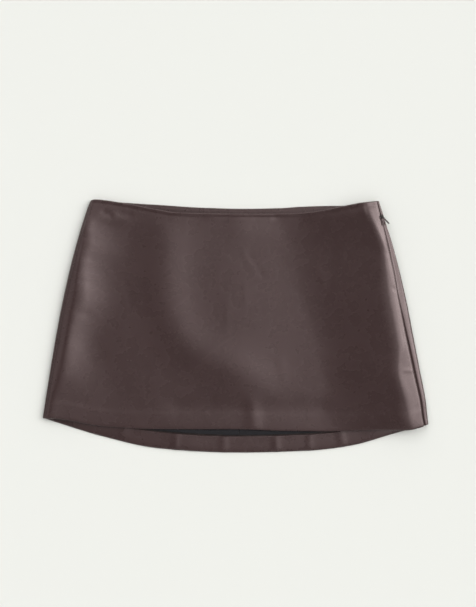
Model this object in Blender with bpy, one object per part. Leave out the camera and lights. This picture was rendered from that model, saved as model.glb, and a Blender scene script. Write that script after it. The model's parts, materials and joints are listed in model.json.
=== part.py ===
"""A faux leather mini skort laid flat, front panel up.

The skirt is a tube of cloth that lies on its two back panels. Every panel is a wall between two skins: an outer
skin that runs through the rings of the tube, and an inner skin moved in by the cloth's thickness. A ring goes
over the front panel from the left side seam to the right one, round the right side fold, along the floor, and
up round the left side fold. The inner shorts lie between the front and the back.

Units are metres. X runs across the garment, Y up to the waist and Z up from the floor. The origin is on the
floor below the middle of the garment. "Down" is the share of the way from the waist edge to the hem, and
"across" the share of the way from the left side fold to the right one.
"""

from collections import namedtuple
import math

import bmesh
import bpy
from mathutils import Matrix, Vector
import numpy as np

# ---- cloth -------------------------------------------------------------------------------------------------
SEAM_GAP = 0.0003
CLOTH = 0.0013
TURNED_EDGE = 0.0025
FACING = 0.0010
JERSEY = 0.0010
TAPE = 0.0010
COIL = 0.0014

# ---- outline, seen from above ------------------------------------------------------------------------------
# A side fold runs from its waist corner to its hem corner and bulges outward over the hip. A skew above 0 moves
# the bulge towards the waist.
Outline = namedtuple("Outline", "waist hem outward bulge skew")
LEFT_OUTLINE = Outline(Vector((-0.1977, 0.1724)), Vector((-0.2628, -0.1261)), -1, 0.0074, 0.8)
RIGHT_OUTLINE = Outline(Vector((0.1940, 0.1697)), Vector((0.2621, -0.1349)), 1, 0.0065, 0.1)
BACK_WAIST_SAG = 0.0120
CENTRE_BACK_WAIST = 0.0051
CENTRE_BACK_HEM = 0.0025

# How far an edge hangs below the straight line between its corners.
Drop = namedtuple("Drop", "across drop")
FRONT_WAIST = [
    Drop(0.00, 0.0000),
    Drop(0.12, 0.0058),
    Drop(0.21, 0.0122),
    Drop(0.30, 0.0176),
    Drop(0.42, 0.0186),
    Drop(0.69, 0.0181),
    Drop(0.77, 0.0154),
    Drop(0.88, 0.0073),
    Drop(1.00, 0.0000),
]
FRONT_HEM = [
    Drop(0.000, 0.0000),
    Drop(0.045, 0.0012),
    Drop(0.160, 0.0096),
    Drop(0.280, 0.0112),
    Drop(0.360, 0.0117),
    Drop(0.510, 0.0104),
    Drop(0.660, 0.0117),
    Drop(0.860, 0.0086),
    Drop(0.940, 0.0082),
    Drop(0.975, 0.0046),
    Drop(1.000, 0.0000),
]
BACK_HEM = [
    Drop(0.00, 0.0000),
    Drop(0.05, 0.0076),
    Drop(0.15, 0.0224),
    Drop(0.30, 0.0375),
    Drop(0.48, 0.0422),
    Drop(0.69, 0.0380),
    Drop(0.80, 0.0300),
    Drop(0.90, 0.0145),
    Drop(1.00, 0.0000),
]

# ---- side folds, as insets from the outline and heights over the floor --------------------------------------
FOLD_FOOT = 0.0055
FOLD_MIDDLE_HEIGHT = 0.0052
Side = namedtuple("Side", "down seam_inset seam_height crest_inset crest_height")
LEFT_SIDE = [
    Side(0.00, 0.0014, 0.0090, 0.0070, 0.0125),
    Side(0.15, 0.0024, 0.0095, 0.0100, 0.0140),
    Side(0.40, 0.0028, 0.0100, 0.0125, 0.0150),
    Side(0.65, 0.0028, 0.0095, 0.0150, 0.0145),
    Side(0.85, 0.0026, 0.0090, 0.0190, 0.0132),
    Side(1.00, 0.0024, 0.0085, 0.0190, 0.0122),
]
RIGHT_SIDE = [
    Side(0.00, 0.0014, 0.0120, 0.0086, 0.0166),
    Side(0.07, 0.0037, 0.0130, 0.0112, 0.0175),
    Side(0.20, 0.0034, 0.0122, 0.0122, 0.0174),
    Side(0.35, 0.0055, 0.0115, 0.0150, 0.0172),
    Side(0.55, 0.0078, 0.0120, 0.0185, 0.0170),
    Side(0.75, 0.0063, 0.0110, 0.0255, 0.0165),
    Side(0.90, 0.0050, 0.0102, 0.0250, 0.0150),
    Side(1.00, 0.0041, 0.0095, 0.0165, 0.0138),
]

# Headings of a ring at its named places, in degrees: 0 runs towards +X and 90 towards +Z.
LEFT_SEAM_HEADING = 62.0
LEFT_CREST_ARRIVES = 10.0
LEFT_CREST_LEAVES = -8.0
RIGHT_CREST_ARRIVES = 13.0
RIGHT_CREST_LEAVES = -20.0
RIGHT_SEAM_HEADING = -70.0

# ---- front panel between its two crests ----------------------------------------------------------------------
LEFT_SLOPE_END = 0.062
RIGHT_SLOPE_END = 0.095
Level = namedtuple("Level", "down height")
FRONT_LEVEL = [
    Level(0.00, 0.0060),
    Level(0.15, 0.0066),
    Level(0.60, 0.0068),
    Level(0.88, 0.0076),
    Level(1.00, 0.0084),
]

# Soft ridges (positive height) and troughs: the line of each one's crest from its upper to its lower end.
Fold = namedtuple("Fold", "top_x top_y bottom_x bottom_y half_width height")
FRONT_FOLDS = [
    Fold(-0.092, 0.118, -0.052, -0.100, 0.020, 0.0016),
    Fold(-0.128, 0.100, -0.112, -0.080, 0.016, -0.0006),
    Fold(-0.004, 0.120, -0.016, -0.110, 0.034, 0.0012),
    Fold(0.010, 0.104, 0.030, 0.070, 0.007, 0.0006),
    Fold(0.062, 0.080, 0.070, -0.105, 0.022, -0.0005),
    Fold(0.033, -0.100, 0.036, -0.150, 0.013, 0.0009),
]
FOLD_FADE = 0.016

# ---- rows of the cloth from waist to hem, with the wall's thickness there ------------------------------------
Row = namedtuple("Row", "down wall")
EDGE_ROWS = [Row(0.000, TURNED_EDGE), Row(0.008, TURNED_EDGE)]
ZIP_ROWS = [Row(0.011, CLOTH), Row(0.035, CLOTH), Row(0.055, CLOTH), Row(0.085, CLOTH), Row(0.115, CLOTH)]
BODY_FIRST = 0.17
BODY_STEP = 0.07
BODY_ROWS = [Row(BODY_FIRST + BODY_STEP * count, CLOTH) for count in range(11)]
HEM_ROWS = [Row(0.929, CLOTH), Row(0.933, TURNED_EDGE), Row(0.967, TURNED_EDGE), Row(1.000, TURNED_EDGE)]
PANEL_ROWS = EDGE_ROWS + ZIP_ROWS + BODY_ROWS + HEM_ROWS
FACING_TOP = 0.0125
FACING_ROWS = [Row(FACING_TOP, FACING)] + [Row(row.down, FACING) for row in ZIP_ROWS[1:]]

# ---- inner shorts --------------------------------------------------------------------------------------------
SHORTS_BACK_FLOOR = CLOTH + SEAM_GAP
SHORTS_LAYER_GAP = 0.0004
SHORTS_FOLD_RADIUS = JERSEY + SHORTS_LAYER_GAP / 2
SHORTS_WAIST_HALF = 0.172
SHORTS_HEM_HALF = 0.220
SHORTS_CENTRE_X = 0.004
CROTCH_DOWN = 0.72
INSEAM_SPREAD = 0.0012
SHORTS_HEM_DOWN = 0.9265
SHORTS_ROWS = [0.0, 0.12, 0.26, 0.40, 0.54, 0.68, CROTCH_DOWN, 0.78, 0.86, 0.94, 1.0]
LEG_SHARES = [0.0, 0.12, 0.3, 0.5, 0.7, 0.88, 1.0]
EIGHTH_TURN = math.pi / 4

# ---- zip in the right side seam --------------------------------------------------------------------------------
ZIP_OPEN_GAP = 0.0015
ZIP_OPEN_END = 0.085
ZIP_CLOSED = 0.115
ZIP_ROWS_END = 0.60
TAPE_WIDTH = 0.0100
COIL_SETBACK = 0.0004
COIL_WIDTH = 0.0016
COIL_FOOT = 0.0022
SLIDER_DOWN = 0.070
SEAM_RUN_STEP = 0.020
SLIDER_LENGTH = 0.0080
SLIDER_WIDTH = 0.0052
SLIDER_PLATE = 0.0008
SLIDER_CLEARANCE = 0.0008
NECK_LENGTH = 0.0046
NECK_THICKNESS = 0.0009
NECK_TOP = 0.0013
EYE_HEIGHT = 0.0017
EYE_RADIUS = 0.00095
EYE_WALL = 0.0008
EYE_BACK = 0.0008
PULL_LENGTH = 0.0152
PULL_ROOT_WIDTH = 0.0040
PULL_NECK_WIDTH = 0.0026
PULL_NECK_FROM = 0.0056
PULL_MIDDLE_AT = 0.0089
PULL_MIDDLE_WIDTH = 0.0030
PULL_TIP_WIDTH = 0.0036
PULL_TIP_STEPS = 5
PULL_CORNER = 0.0006
PULL_THICKNESS = 0.0009
PULL_RIM = 0.0010
PULL_SLOT_LENGTH = 0.0024
PULL_SLOT_WIDTH = 0.0020
PULL_SWING = math.radians(30.0)

# ---- colours ---------------------------------------------------------------------------------------------------
LEATHER_BROWN = (0.070, 0.043, 0.041, 1.0)
JERSEY_BLACK = (0.012, 0.010, 0.010, 1.0)
TAPE_BROWN = (0.030, 0.020, 0.019, 1.0)
PAINTED_ZINC = (0.035, 0.028, 0.027, 1.0)


# ---- curves ------------------------------------------------------------------------------------------------------
def between(low, high, share):
    return low + (high - low) * share


def ease(share):
    share = np.clip(share, 0.0, 1.0)
    return share * share * (3 - 2 * share)


def through(rows, column, key, at):
    """The column's value where the key column is `at`, on a smooth curve that never overshoots the rows."""
    keys = np.array([getattr(row, key) for row in rows])
    values = np.array([getattr(row, column) for row in rows])
    steps = np.diff(keys)
    rises = np.diff(values) / steps
    slopes = np.zeros(len(rows))
    slopes[0] = rises[0]
    slopes[-1] = rises[-1]
    for i in range(1, len(rows) - 1):
        if rises[i - 1] * rises[i] > 0:
            slopes[i] = 2 * rises[i - 1] * rises[i] / (rises[i - 1] + rises[i])
    at = np.clip(at, keys[0], keys[-1])
    i = np.clip(np.searchsorted(keys, at, side="right") - 1, 0, len(steps) - 1)
    t = (at - keys[i]) / steps[i]
    start = values[i] * (1 + 2 * t) * (1 - t) ** 2 + slopes[i] * steps[i] * t * (1 - t) ** 2
    end = values[i + 1] * t * t * (3 - 2 * t) + slopes[i + 1] * steps[i] * t * t * (t - 1)
    return start + end


# ---- outline ---------------------------------------------------------------------------------------------------
def side_edge(outline, down):
    """A point of the left or right side fold."""
    point = outline.waist.lerp(outline.hem, down)
    hip = 4 * down * (1 - down) * (1 + outline.skew * (0.5 - down))
    return Vector((point.x + outline.outward * outline.bulge * hip, point.y))


def left_edge(down):
    return side_edge(LEFT_OUTLINE, down)


def right_edge(down):
    return side_edge(RIGHT_OUTLINE, down)


def front_drop(across, down):
    waist = through(FRONT_WAIST, "drop", "across", across)
    hem = through(FRONT_HEM, "drop", "across", across)
    return between(waist, hem, down)


def back_drop(across, down):
    waist = BACK_WAIST_SAG * 4 * across * (1 - across)
    hem = through(BACK_HEM, "drop", "across", across)
    return between(waist, hem, down)


def plan_y(x, down, on_front):
    """How far up the garment a point at x lies. `on_front` is 1 on the front panel and 0 on the back."""
    left, right = left_edge(down), right_edge(down)
    across = min(max((x - left.x) / (right.x - left.x), 0.0), 1.0)
    drop = between(back_drop(across, down), front_drop(across, down), on_front)
    return between(left.y, right.y, across) - drop


# ---- rings -------------------------------------------------------------------------------------------------------
Node = namedtuple("Node", "x z arrives leaves on_front")


def ring_nodes(down):
    """The named places of a ring, in order from the left seam over the front and back along the floor."""
    left, right = left_edge(down).x, right_edge(down).x
    level = through(FRONT_LEVEL, "height", "down", down)
    on_left = {name: through(LEFT_SIDE, name, "down", down) for name in Side._fields[1:]}
    on_right = {name: through(RIGHT_SIDE, name, "down", down) for name in Side._fields[1:]}
    left_seam = Node(
        left + on_left["seam_inset"], on_left["seam_height"], LEFT_SEAM_HEADING, LEFT_SEAM_HEADING, 1
    )
    return {
        "left_seam": left_seam,
        "left_crest": Node(
            left + on_left["crest_inset"], on_left["crest_height"], LEFT_CREST_ARRIVES, LEFT_CREST_LEAVES, 1
        ),
        "left_slope_end": Node(left + LEFT_SLOPE_END, level, 0, 0, 1),
        "right_slope_end": Node(right - RIGHT_SLOPE_END, level, 0, 0, 1),
        "right_crest": Node(
            right - on_right["crest_inset"],
            on_right["crest_height"],
            RIGHT_CREST_ARRIVES,
            RIGHT_CREST_LEAVES,
            1,
        ),
        "right_seam": Node(
            right - on_right["seam_inset"],
            on_right["seam_height"],
            RIGHT_SEAM_HEADING,
            RIGHT_SEAM_HEADING,
            1,
        ),
        "right_edge": Node(right, FOLD_MIDDLE_HEIGHT, -90, -90, 0),
        "right_foot": Node(right - FOLD_FOOT, 0.0, 180, 180, 0),
        "centre_back": Node(between(CENTRE_BACK_WAIST, CENTRE_BACK_HEM, down), 0.0, 180, 180, 0),
        "left_foot": Node(left + FOLD_FOOT, 0.0, 180, 180, 0),
        "left_edge": Node(left, FOLD_MIDDLE_HEIGHT, 90, 90, 0),
        "left_seam_again": left_seam,
    }


# The number of steps of a ring from each named place to the next one.
RING_STEPS = {
    "left_seam": 4,
    "left_crest": 4,
    "left_slope_end": 14,
    "right_slope_end": 6,
    "right_crest": 4,
    "right_seam": 3,
    "right_edge": 3,
    "right_foot": 9,
    "centre_back": 9,
    "left_foot": 3,
    "left_edge": 3,
}


def ring_index(name):
    """The number of a named place's point on every ring."""
    names = list(RING_STEPS) + ["left_seam_again"]
    return sum(RING_STEPS[earlier] for earlier in names[: names.index(name)])


def span_point(start, end, share):
    """A point on the smooth curve from one named place to the next."""
    chord = math.hypot(end.x - start.x, end.z - start.z)
    leave, arrive = math.radians(start.leaves), math.radians(end.arrives)
    h_start, h_end = 1 - ease(share), ease(share)
    h_leave, h_arrive = share * (1 - share) ** 2, share * share * (share - 1)
    x = start.x * h_start + end.x * h_end + chord * (math.cos(leave) * h_leave + math.cos(arrive) * h_arrive)
    z = start.z * h_start + end.z * h_end + chord * (math.sin(leave) * h_leave + math.sin(arrive) * h_arrive)
    return x, z


def fold_height(x, y):
    """The height that the soft ridges and troughs add to the front panel at a place."""
    height = 0.0
    for fold in FRONT_FOLDS:
        top = Vector((fold.top_x, fold.top_y))
        run = Vector((fold.bottom_x, fold.bottom_y)) - top
        away = Vector((x, y)) - top
        along = away.dot(run) / run.length_squared
        aside = (away - run * along).length / fold.half_width
        past_end = max(-along, along - 1, 0.0) * run.length / fold.half_width
        height += fold.height * math.exp(-aside * aside - past_end * past_end)
    return height


def ring_points(down):
    """The points of one ring, in order, as rows of x, y and z."""
    nodes = ring_nodes(down)
    names = list(nodes)
    fade_from = nodes["left_crest"].x
    fade_to = nodes["right_crest"].x
    points = []
    for name, following in zip(names, names[1:]):
        start, end = nodes[name], nodes[following]
        for step in range(RING_STEPS[name]):
            share = step / RING_STEPS[name]
            x, z = span_point(start, end, share)
            y = plan_y(x, down, between(start.on_front, end.on_front, share))
            if start.on_front and end.on_front:
                inside = min(x - fade_from, fade_to - x) / FOLD_FADE
                z += fold_height(x, y) * float(ease(inside))
            points.append((x, y, z))
    points.append(points[0])
    return np.array(points)


def ring_normals(points):
    """Outward normals of a closed ring in its own upright plane, at every point."""
    before = np.vstack([points[-2], points[:-1]])
    after = np.vstack([points[1:], points[1]])
    run = after - before
    normals = np.column_stack([-run[:, 2], np.zeros(len(run)), run[:, 0]])
    return normals / np.linalg.norm(normals, axis=1)[:, None]


def ring_directions(normals):
    """Unit steps along the ring, at right angles to its normals."""
    return np.column_stack([normals[:, 2], np.zeros(len(normals)), -normals[:, 0]])


Ring = namedtuple("Ring", "points normals directions")


def ring(down):
    points = ring_points(down)
    normals = ring_normals(points)
    return Ring(points, normals, ring_directions(normals))


def zip_half_gap(down):
    """Half the width of the right side seam: open above the zip's slider and closed below it."""
    closing = float(ease((down - ZIP_OPEN_END) / (ZIP_CLOSED - ZIP_OPEN_END)))
    return between(ZIP_OPEN_GAP, SEAM_GAP, closing) / 2


def end_half_gap(name, down):
    return zip_half_gap(down) if name == "right_seam" else SEAM_GAP / 2


# ---- meshes ------------------------------------------------------------------------------------------------------
def add_material(name, colour, roughness, metallic=0.0):
    material = bpy.data.materials.new(name)
    material.use_nodes = True
    shader = material.node_tree.nodes["Principled BSDF"]
    shader.inputs["Base Color"].default_value = colour
    shader.inputs["Roughness"].default_value = roughness
    shader.inputs["Metallic"].default_value = metallic
    material.diffuse_color = colour
    return material


def add_object(name, mesh, material):
    mesh.materials.append(material)
    piece = bpy.data.objects.new(name, mesh)
    bpy.context.scene.collection.objects.link(piece)
    return piece


def add_wall(name, outer, inner, material):
    """A closed wall between two skins, each a grid of points with a row for each ring."""
    outer, inner = np.asarray(outer), np.asarray(inner)
    rows, columns = outer.shape[:2]
    shape = bmesh.new()
    skins = [[[shape.verts.new(point) for point in row] for row in skin] for skin in (outer, inner)]
    for skin in skins:
        for i in range(rows - 1):
            for j in range(columns - 1):
                shape.faces.new((skin[i][j], skin[i][j + 1], skin[i + 1][j + 1], skin[i + 1][j]))
    around = [(0, j) for j in range(columns)]
    around += [(i, columns - 1) for i in range(1, rows)]
    around += [(rows - 1, j) for j in range(columns - 2, -1, -1)]
    around += [(i, 0) for i in range(rows - 2, 0, -1)]
    for (i, j), (k, m) in zip(around, around[1:] + around[:1]):
        shape.faces.new((skins[0][i][j], skins[0][k][m], skins[1][k][m], skins[1][i][j]))
    bmesh.ops.recalc_face_normals(shape, faces=shape.faces)
    mesh = bpy.data.meshes.new(name)
    shape.to_mesh(mesh)
    shape.free()
    mesh.shade_smooth()
    mesh.set_sharp_from_angle(angle=math.radians(40))
    return add_object(name, mesh, material)


def add_box(name, low, high):
    """A plain box, as a mesh object without a material."""
    shape = bmesh.new()
    bmesh.ops.create_cube(shape, size=1.0)
    low, high = Vector(low), Vector(high)
    for vertex in shape.verts:
        vertex.co = Vector(between(low[k], high[k], vertex.co[k] + 0.5) for k in range(3))
    mesh = bpy.data.meshes.new(name)
    shape.to_mesh(mesh)
    shape.free()
    piece = bpy.data.objects.new(name, mesh)
    bpy.context.scene.collection.objects.link(piece)
    return piece


def add_disc(name, radius, half_thickness, centre, sides):
    """A short round bar along its own Y axis, as a mesh object without a material."""
    shape = bmesh.new()
    bmesh.ops.create_cone(
        shape, cap_ends=True, segments=sides, radius1=radius, radius2=radius, depth=2 * half_thickness
    )
    turn = Matrix.Translation(centre) @ Matrix.Rotation(math.radians(90), 4, "X")
    bmesh.ops.transform(shape, matrix=turn, verts=shape.verts)
    mesh = bpy.data.meshes.new(name)
    shape.to_mesh(mesh)
    shape.free()
    piece = bpy.data.objects.new(name, mesh)
    bpy.context.scene.collection.objects.link(piece)
    return piece


def add_plate(name, outline, thickness):
    """A flat plate of the outline in its own XY plane, halved by that plane."""
    shape = bmesh.new()
    corners = [shape.verts.new((x, y, -thickness / 2)) for x, y in outline]
    face = shape.faces.new(corners)
    grown = bmesh.ops.extrude_face_region(shape, geom=[face])
    raised = [part for part in grown["geom"] if isinstance(part, bmesh.types.BMVert)]
    bmesh.ops.translate(shape, verts=raised, vec=(0, 0, thickness))
    bmesh.ops.recalc_face_normals(shape, faces=shape.faces)
    mesh = bpy.data.meshes.new(name)
    shape.to_mesh(mesh)
    shape.free()
    piece = bpy.data.objects.new(name, mesh)
    bpy.context.scene.collection.objects.link(piece)
    return piece


def combine(piece, other, operation):
    """Joins or cuts the piece with another object, which is then only a hidden guide."""
    modifier = piece.modifiers.new(other.name, "BOOLEAN")
    modifier.operation = operation
    modifier.solver = "EXACT"
    modifier.object = other
    other.hide_render = True
    other.display_type = "WIRE"


# ---- skirt -------------------------------------------------------------------------------------------------------
def panel_skins(rows, start, end, depth, half_gaps):
    """The two skins of a panel between two named places, `depth` inside the tube's outer face."""
    first, last = ring_index(start), ring_index(end)
    outer, inner = [], []
    for row in rows:
        around = ring(row.down)
        points = around.points[first : last + 1].copy()
        points[0] += around.directions[first] * half_gaps[0](row.down)
        points[-1] -= around.directions[last] * half_gaps[1](row.down)
        normals = around.normals[first : last + 1]
        outer.append(points - normals * depth)
        inner.append(points - normals * (depth + row.wall))
    return outer, inner


def gap_at(name):
    return lambda down: end_half_gap(name, down)


def add_front(leather):
    outer, inner = panel_skins(
        PANEL_ROWS, "left_seam", "right_seam", 0.0, (gap_at("left_seam"), gap_at("right_seam"))
    )
    add_wall("front_panel", outer, inner, leather)


def add_backs(leather):
    ends = {
        "back_panel_right": ("right_seam", "centre_back"),
        "back_panel_left": ("centre_back", "left_seam_again"),
    }
    for name, (start, end) in ends.items():
        outer, inner = panel_skins(PANEL_ROWS, start, end, 0.0, (gap_at(start), gap_at(end)))
        add_wall(name, outer, inner, leather)


def add_facings(leather):
    ends = {
        "back_facing_right": ("right_foot", "centre_back"),
        "back_facing_left": ("centre_back", "left_edge"),
    }
    for name, (start, end) in ends.items():
        depth = CLOTH + SEAM_GAP
        outer, inner = panel_skins(FACING_ROWS, start, end, depth, (gap_at(start), gap_at(end)))
        add_wall(name, outer, inner, leather)


# ---- shorts ------------------------------------------------------------------------------------------------------
def leg_section(down):
    """The outer face of one leg as distances from the centre line and heights, with its outward normals.

    It runs from the centre front over the top to the outer fold and back below to the centre back. Below the
    crotch both ends curl towards each other and meet at the inseam.
    """
    radius = SHORTS_FOLD_RADIUS
    middle = SHORTS_BACK_FLOOR + radius
    outer = between(SHORTS_WAIST_HALF, SHORTS_HEM_HALF, down)
    below_crotch = max(0.0, (down - CROTCH_DOWN) / (1 - CROTCH_DOWN))
    inner = SEAM_GAP / 2 + INSEAM_SPREAD * below_crotch
    curled = down > CROTCH_DOWN
    end_angle = math.asin(SEAM_GAP / 2 / radius)
    top = []
    for angle in (end_angle, EIGHTH_TURN):
        if curled:
            place = (inner + radius * (1 - math.cos(angle)), middle + radius * math.sin(angle))
            normal = (-math.cos(angle), math.sin(angle))
        else:
            place = (inner + radius * angle / (2 * EIGHTH_TURN), middle + radius)
            normal = (0.0, 1.0)
        top.append((place, normal))
    for share in LEG_SHARES:
        top.append(((between(inner + radius, outer - radius, share), middle + radius), (0.0, 1.0)))
    slant = math.cos(EIGHTH_TURN)
    top.append(((outer - radius * (1 - slant), middle + radius * slant), (slant, slant)))
    fold = [((outer, middle), (1.0, 0.0))]
    below = [((x, 2 * middle - z), (u, -v)) for (x, z), (u, v) in reversed(top)]
    return top + fold + below


def shorts_y(x, down):
    """How far up the garment the shorts' cloth lies, from the facing's lower edge to just above the hem."""
    waist = plan_y(x, FACING_ROWS[-1].down, 0.0) - SEAM_GAP
    hem = plan_y(x, SHORTS_HEM_DOWN, 0.0)
    return between(waist, hem, down)


def add_leg(name, side, jersey):
    outer, inner = [], []
    for down in SHORTS_ROWS:
        section = leg_section(down)
        skins = [[], []]
        for (aside, z), (out, up) in section:
            x = SHORTS_CENTRE_X + side * aside
            y = shorts_y(x, down)
            skins[0].append((x, y, z))
            skins[1].append((x - side * out * JERSEY, y, z - up * JERSEY))
        outer.append(skins[0])
        inner.append(skins[1])
    add_wall(name, outer, inner, jersey)


# ---- zip ---------------------------------------------------------------------------------------------------------
def seam_offsets(around, toward_front, distances):
    """Points and normals of a ring at distances from the right seam, to the front or to the back."""
    start = ring_index("right_seam")
    reach = slice(start, None, -1) if toward_front else slice(start, None)
    points, normals = around.points[reach], around.normals[reach]
    lengths = np.concatenate([[0.0], np.cumsum(np.linalg.norm(np.diff(points, axis=0), axis=1))])
    place = np.column_stack([np.interp(distances, lengths, points[:, k]) for k in range(3)])
    out = np.column_stack([np.interp(distances, lengths, normals[:, k]) for k in range(3)])
    return place, out / np.linalg.norm(out, axis=1)[:, None]


def add_tape(name, toward_front, fabric):
    """One side of the zip: a flat tape with the thicker coil along its edge at the seam."""
    rows = [row.down for row in PANEL_ROWS if FACING_TOP <= row.down <= ZIP_ROWS_END]
    thickness = np.array([COIL, COIL, TAPE, TAPE, TAPE])[:, None]
    places = np.array([0.0, COIL_WIDTH, COIL_FOOT, TAPE_WIDTH / 2, TAPE_WIDTH])
    outer, inner = [], []
    for down in rows:
        distances = zip_half_gap(down) + COIL_SETBACK + places
        place, out = seam_offsets(ring(down), toward_front, distances)
        outer.append(place - out * (CLOTH + SEAM_GAP))
        inner.append(place - out * (CLOTH + SEAM_GAP + thickness))
    add_wall(name, outer, inner, fabric)


def seam_frame(down):
    """The right seam's frame: X runs down the seam, Z out of the cloth and Y across the seam."""
    index = ring_index("right_seam")
    here = ring(down)
    above, below = ring(down - SEAM_RUN_STEP), ring(down + SEAM_RUN_STEP)
    run = Vector(below.points[index] - above.points[index]).normalized()
    out = Vector(here.normals[index])
    out = (out - run * out.dot(run)).normalized()
    across = out.cross(run)
    frame = Matrix((run, across, out)).transposed().to_4x4()
    frame.translation = Vector(here.points[index])
    return frame


def add_slider(zinc):
    """A plate inside the coils, a thin neck through the open seam, and an eye outside for the pull tab."""
    frame = seam_frame(SLIDER_DOWN)
    top = -(CLOTH + SEAM_GAP + COIL + SLIDER_CLEARANCE)
    slider = add_box(
        "zip_slider",
        (-SLIDER_LENGTH / 2, -SLIDER_WIDTH / 2, top - SLIDER_PLATE),
        (SLIDER_LENGTH / 2, SLIDER_WIDTH / 2, top),
    )
    neck = add_box(
        "slider_neck",
        (-NECK_LENGTH / 2, -NECK_THICKNESS / 2, top - SLIDER_PLATE / 2),
        (NECK_LENGTH / 2, NECK_THICKNESS / 2, NECK_TOP),
    )
    eye_centre = Vector((-EYE_BACK, 0, EYE_HEIGHT))
    eye = add_disc("slider_eye", EYE_RADIUS + EYE_WALL, NECK_THICKNESS / 2, eye_centre, 20)
    hole = add_disc("slider_eye_hole", EYE_RADIUS, NECK_THICKNESS, eye_centre, 16)
    for piece in (slider, neck, eye, hole):
        piece.matrix_world = frame
    slider.data.materials.append(zinc)
    combine(slider, neck, "UNION")
    combine(slider, eye, "UNION")
    combine(slider, hole, "DIFFERENCE")
    return frame @ Matrix.Translation(eye_centre)


def pull_outline():
    """The pull tab's outline: square shoulders at the eye, a narrow neck and a round tip."""
    half_root, half_tip = PULL_ROOT_WIDTH / 2, PULL_TIP_WIDTH / 2
    top = -PULL_RIM / 2
    shoulder = PULL_RIM / 2 + PULL_SLOT_LENGTH + PULL_RIM
    tip_centre = PULL_LENGTH - half_tip
    one_side = [
        (top, half_root - PULL_CORNER),
        (top + PULL_CORNER, half_root),
        (shoulder, half_root),
        (PULL_NECK_FROM, PULL_NECK_WIDTH / 2),
        (PULL_MIDDLE_AT, PULL_MIDDLE_WIDTH / 2),
    ]
    for step in range(PULL_TIP_STEPS):
        angle = math.pi / 2 * (1 - step / PULL_TIP_STEPS)
        one_side.append((tip_centre + half_tip * math.cos(angle), half_tip * math.sin(angle)))
    return one_side + [(PULL_LENGTH, 0.0)] + [(x, -y) for x, y in reversed(one_side)]


def add_pull(hinge, zinc):
    """The pull tab, with its origin on the hinge axis, which is the rim that lies in the slider's eye."""
    pull = add_plate("zip_pull", pull_outline(), PULL_THICKNESS)
    slot = add_box(
        "pull_slot",
        (PULL_RIM / 2, -PULL_SLOT_WIDTH / 2, -PULL_THICKNESS),
        (PULL_RIM / 2 + PULL_SLOT_LENGTH, PULL_SLOT_WIDTH / 2, PULL_THICKNESS),
    )
    pull.data.materials.append(zinc)
    for piece in (pull, slot):
        piece.matrix_world = hinge @ Matrix.Rotation(-PULL_SWING, 4, "Y")
    combine(pull, slot, "DIFFERENCE")


# ---- build -------------------------------------------------------------------------------------------------------
def main():
    for piece in list(bpy.data.objects):
        bpy.data.objects.remove(piece)
    leather = add_material("faux_leather", LEATHER_BROWN, 0.42)
    jersey = add_material("jersey", JERSEY_BLACK, 0.9)
    fabric = add_material("zip_tape", TAPE_BROWN, 0.85)
    zinc = add_material("painted_zinc", PAINTED_ZINC, 0.35, 0.3)
    add_front(leather)
    add_backs(leather)
    add_facings(leather)
    add_leg("shorts_left", -1, jersey)
    add_leg("shorts_right", 1, jersey)
    add_tape("zip_tape_front", True, fabric)
    add_tape("zip_tape_back", False, fabric)
    hinge = add_slider(zinc)
    add_pull(hinge, zinc)


main()
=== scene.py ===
"""Looks of the faux leather skort: cloth shells, the zip, the sewing, the finishes and a plain studio.

The cloth follows the same rings as the solids: a ring goes over the front panel from the left side seam
to the right one, round the right side fold, along the floor, and up round the left side fold. "Down" is
the share of the way from the waist edge to the hem, and "across" the share of the way from the left side
fold to the right one. Units are metres. A heading of 0 degrees runs towards +X and one of 90 towards +Z.
"""

from collections import namedtuple
import json
import math

import bpy
from mathutils import Matrix, Vector
import numpy as np


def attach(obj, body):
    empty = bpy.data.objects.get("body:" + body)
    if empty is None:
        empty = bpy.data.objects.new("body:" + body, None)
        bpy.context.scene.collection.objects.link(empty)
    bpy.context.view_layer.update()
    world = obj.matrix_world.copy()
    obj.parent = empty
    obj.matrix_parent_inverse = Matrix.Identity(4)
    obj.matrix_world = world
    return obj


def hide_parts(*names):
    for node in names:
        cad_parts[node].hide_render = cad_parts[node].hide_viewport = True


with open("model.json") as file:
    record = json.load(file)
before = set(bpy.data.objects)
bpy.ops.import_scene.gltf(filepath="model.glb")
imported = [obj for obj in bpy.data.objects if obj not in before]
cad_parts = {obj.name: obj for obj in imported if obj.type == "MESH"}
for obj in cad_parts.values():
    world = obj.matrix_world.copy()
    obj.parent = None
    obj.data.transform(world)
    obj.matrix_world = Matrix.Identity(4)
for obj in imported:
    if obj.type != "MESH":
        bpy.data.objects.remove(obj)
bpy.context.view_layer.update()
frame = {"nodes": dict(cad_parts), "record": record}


def table(kind, *rows):
    """Rows of one kind, from plain tuples."""
    return [kind(*row) for row in rows]


# ---- thickness of the cloths -----------------------------------------------
SEAM_GAP = 0.0003
CLOTH = 0.0013
TURNED_EDGE = 0.0025
FACING = 0.0010
JERSEY = 0.0010
TAPE = 0.0008

# ---- outline, seen from above ----------------------------------------------
Outline = namedtuple("Outline", "waist_x waist_y hem_x hem_y outward bulge skew")
LEFT_OUTLINE = Outline(-0.1977, 0.1724, -0.2628, -0.1261, -1, 0.0074, 0.8)
RIGHT_OUTLINE = Outline(0.1940, 0.1697, 0.2621, -0.1349, 1, 0.0065, 0.1)
LENGTH = LEFT_OUTLINE.waist_y - LEFT_OUTLINE.hem_y
CENTRE_BACK_WAIST = 0.0051
CENTRE_BACK_HEM = 0.0025

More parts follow.
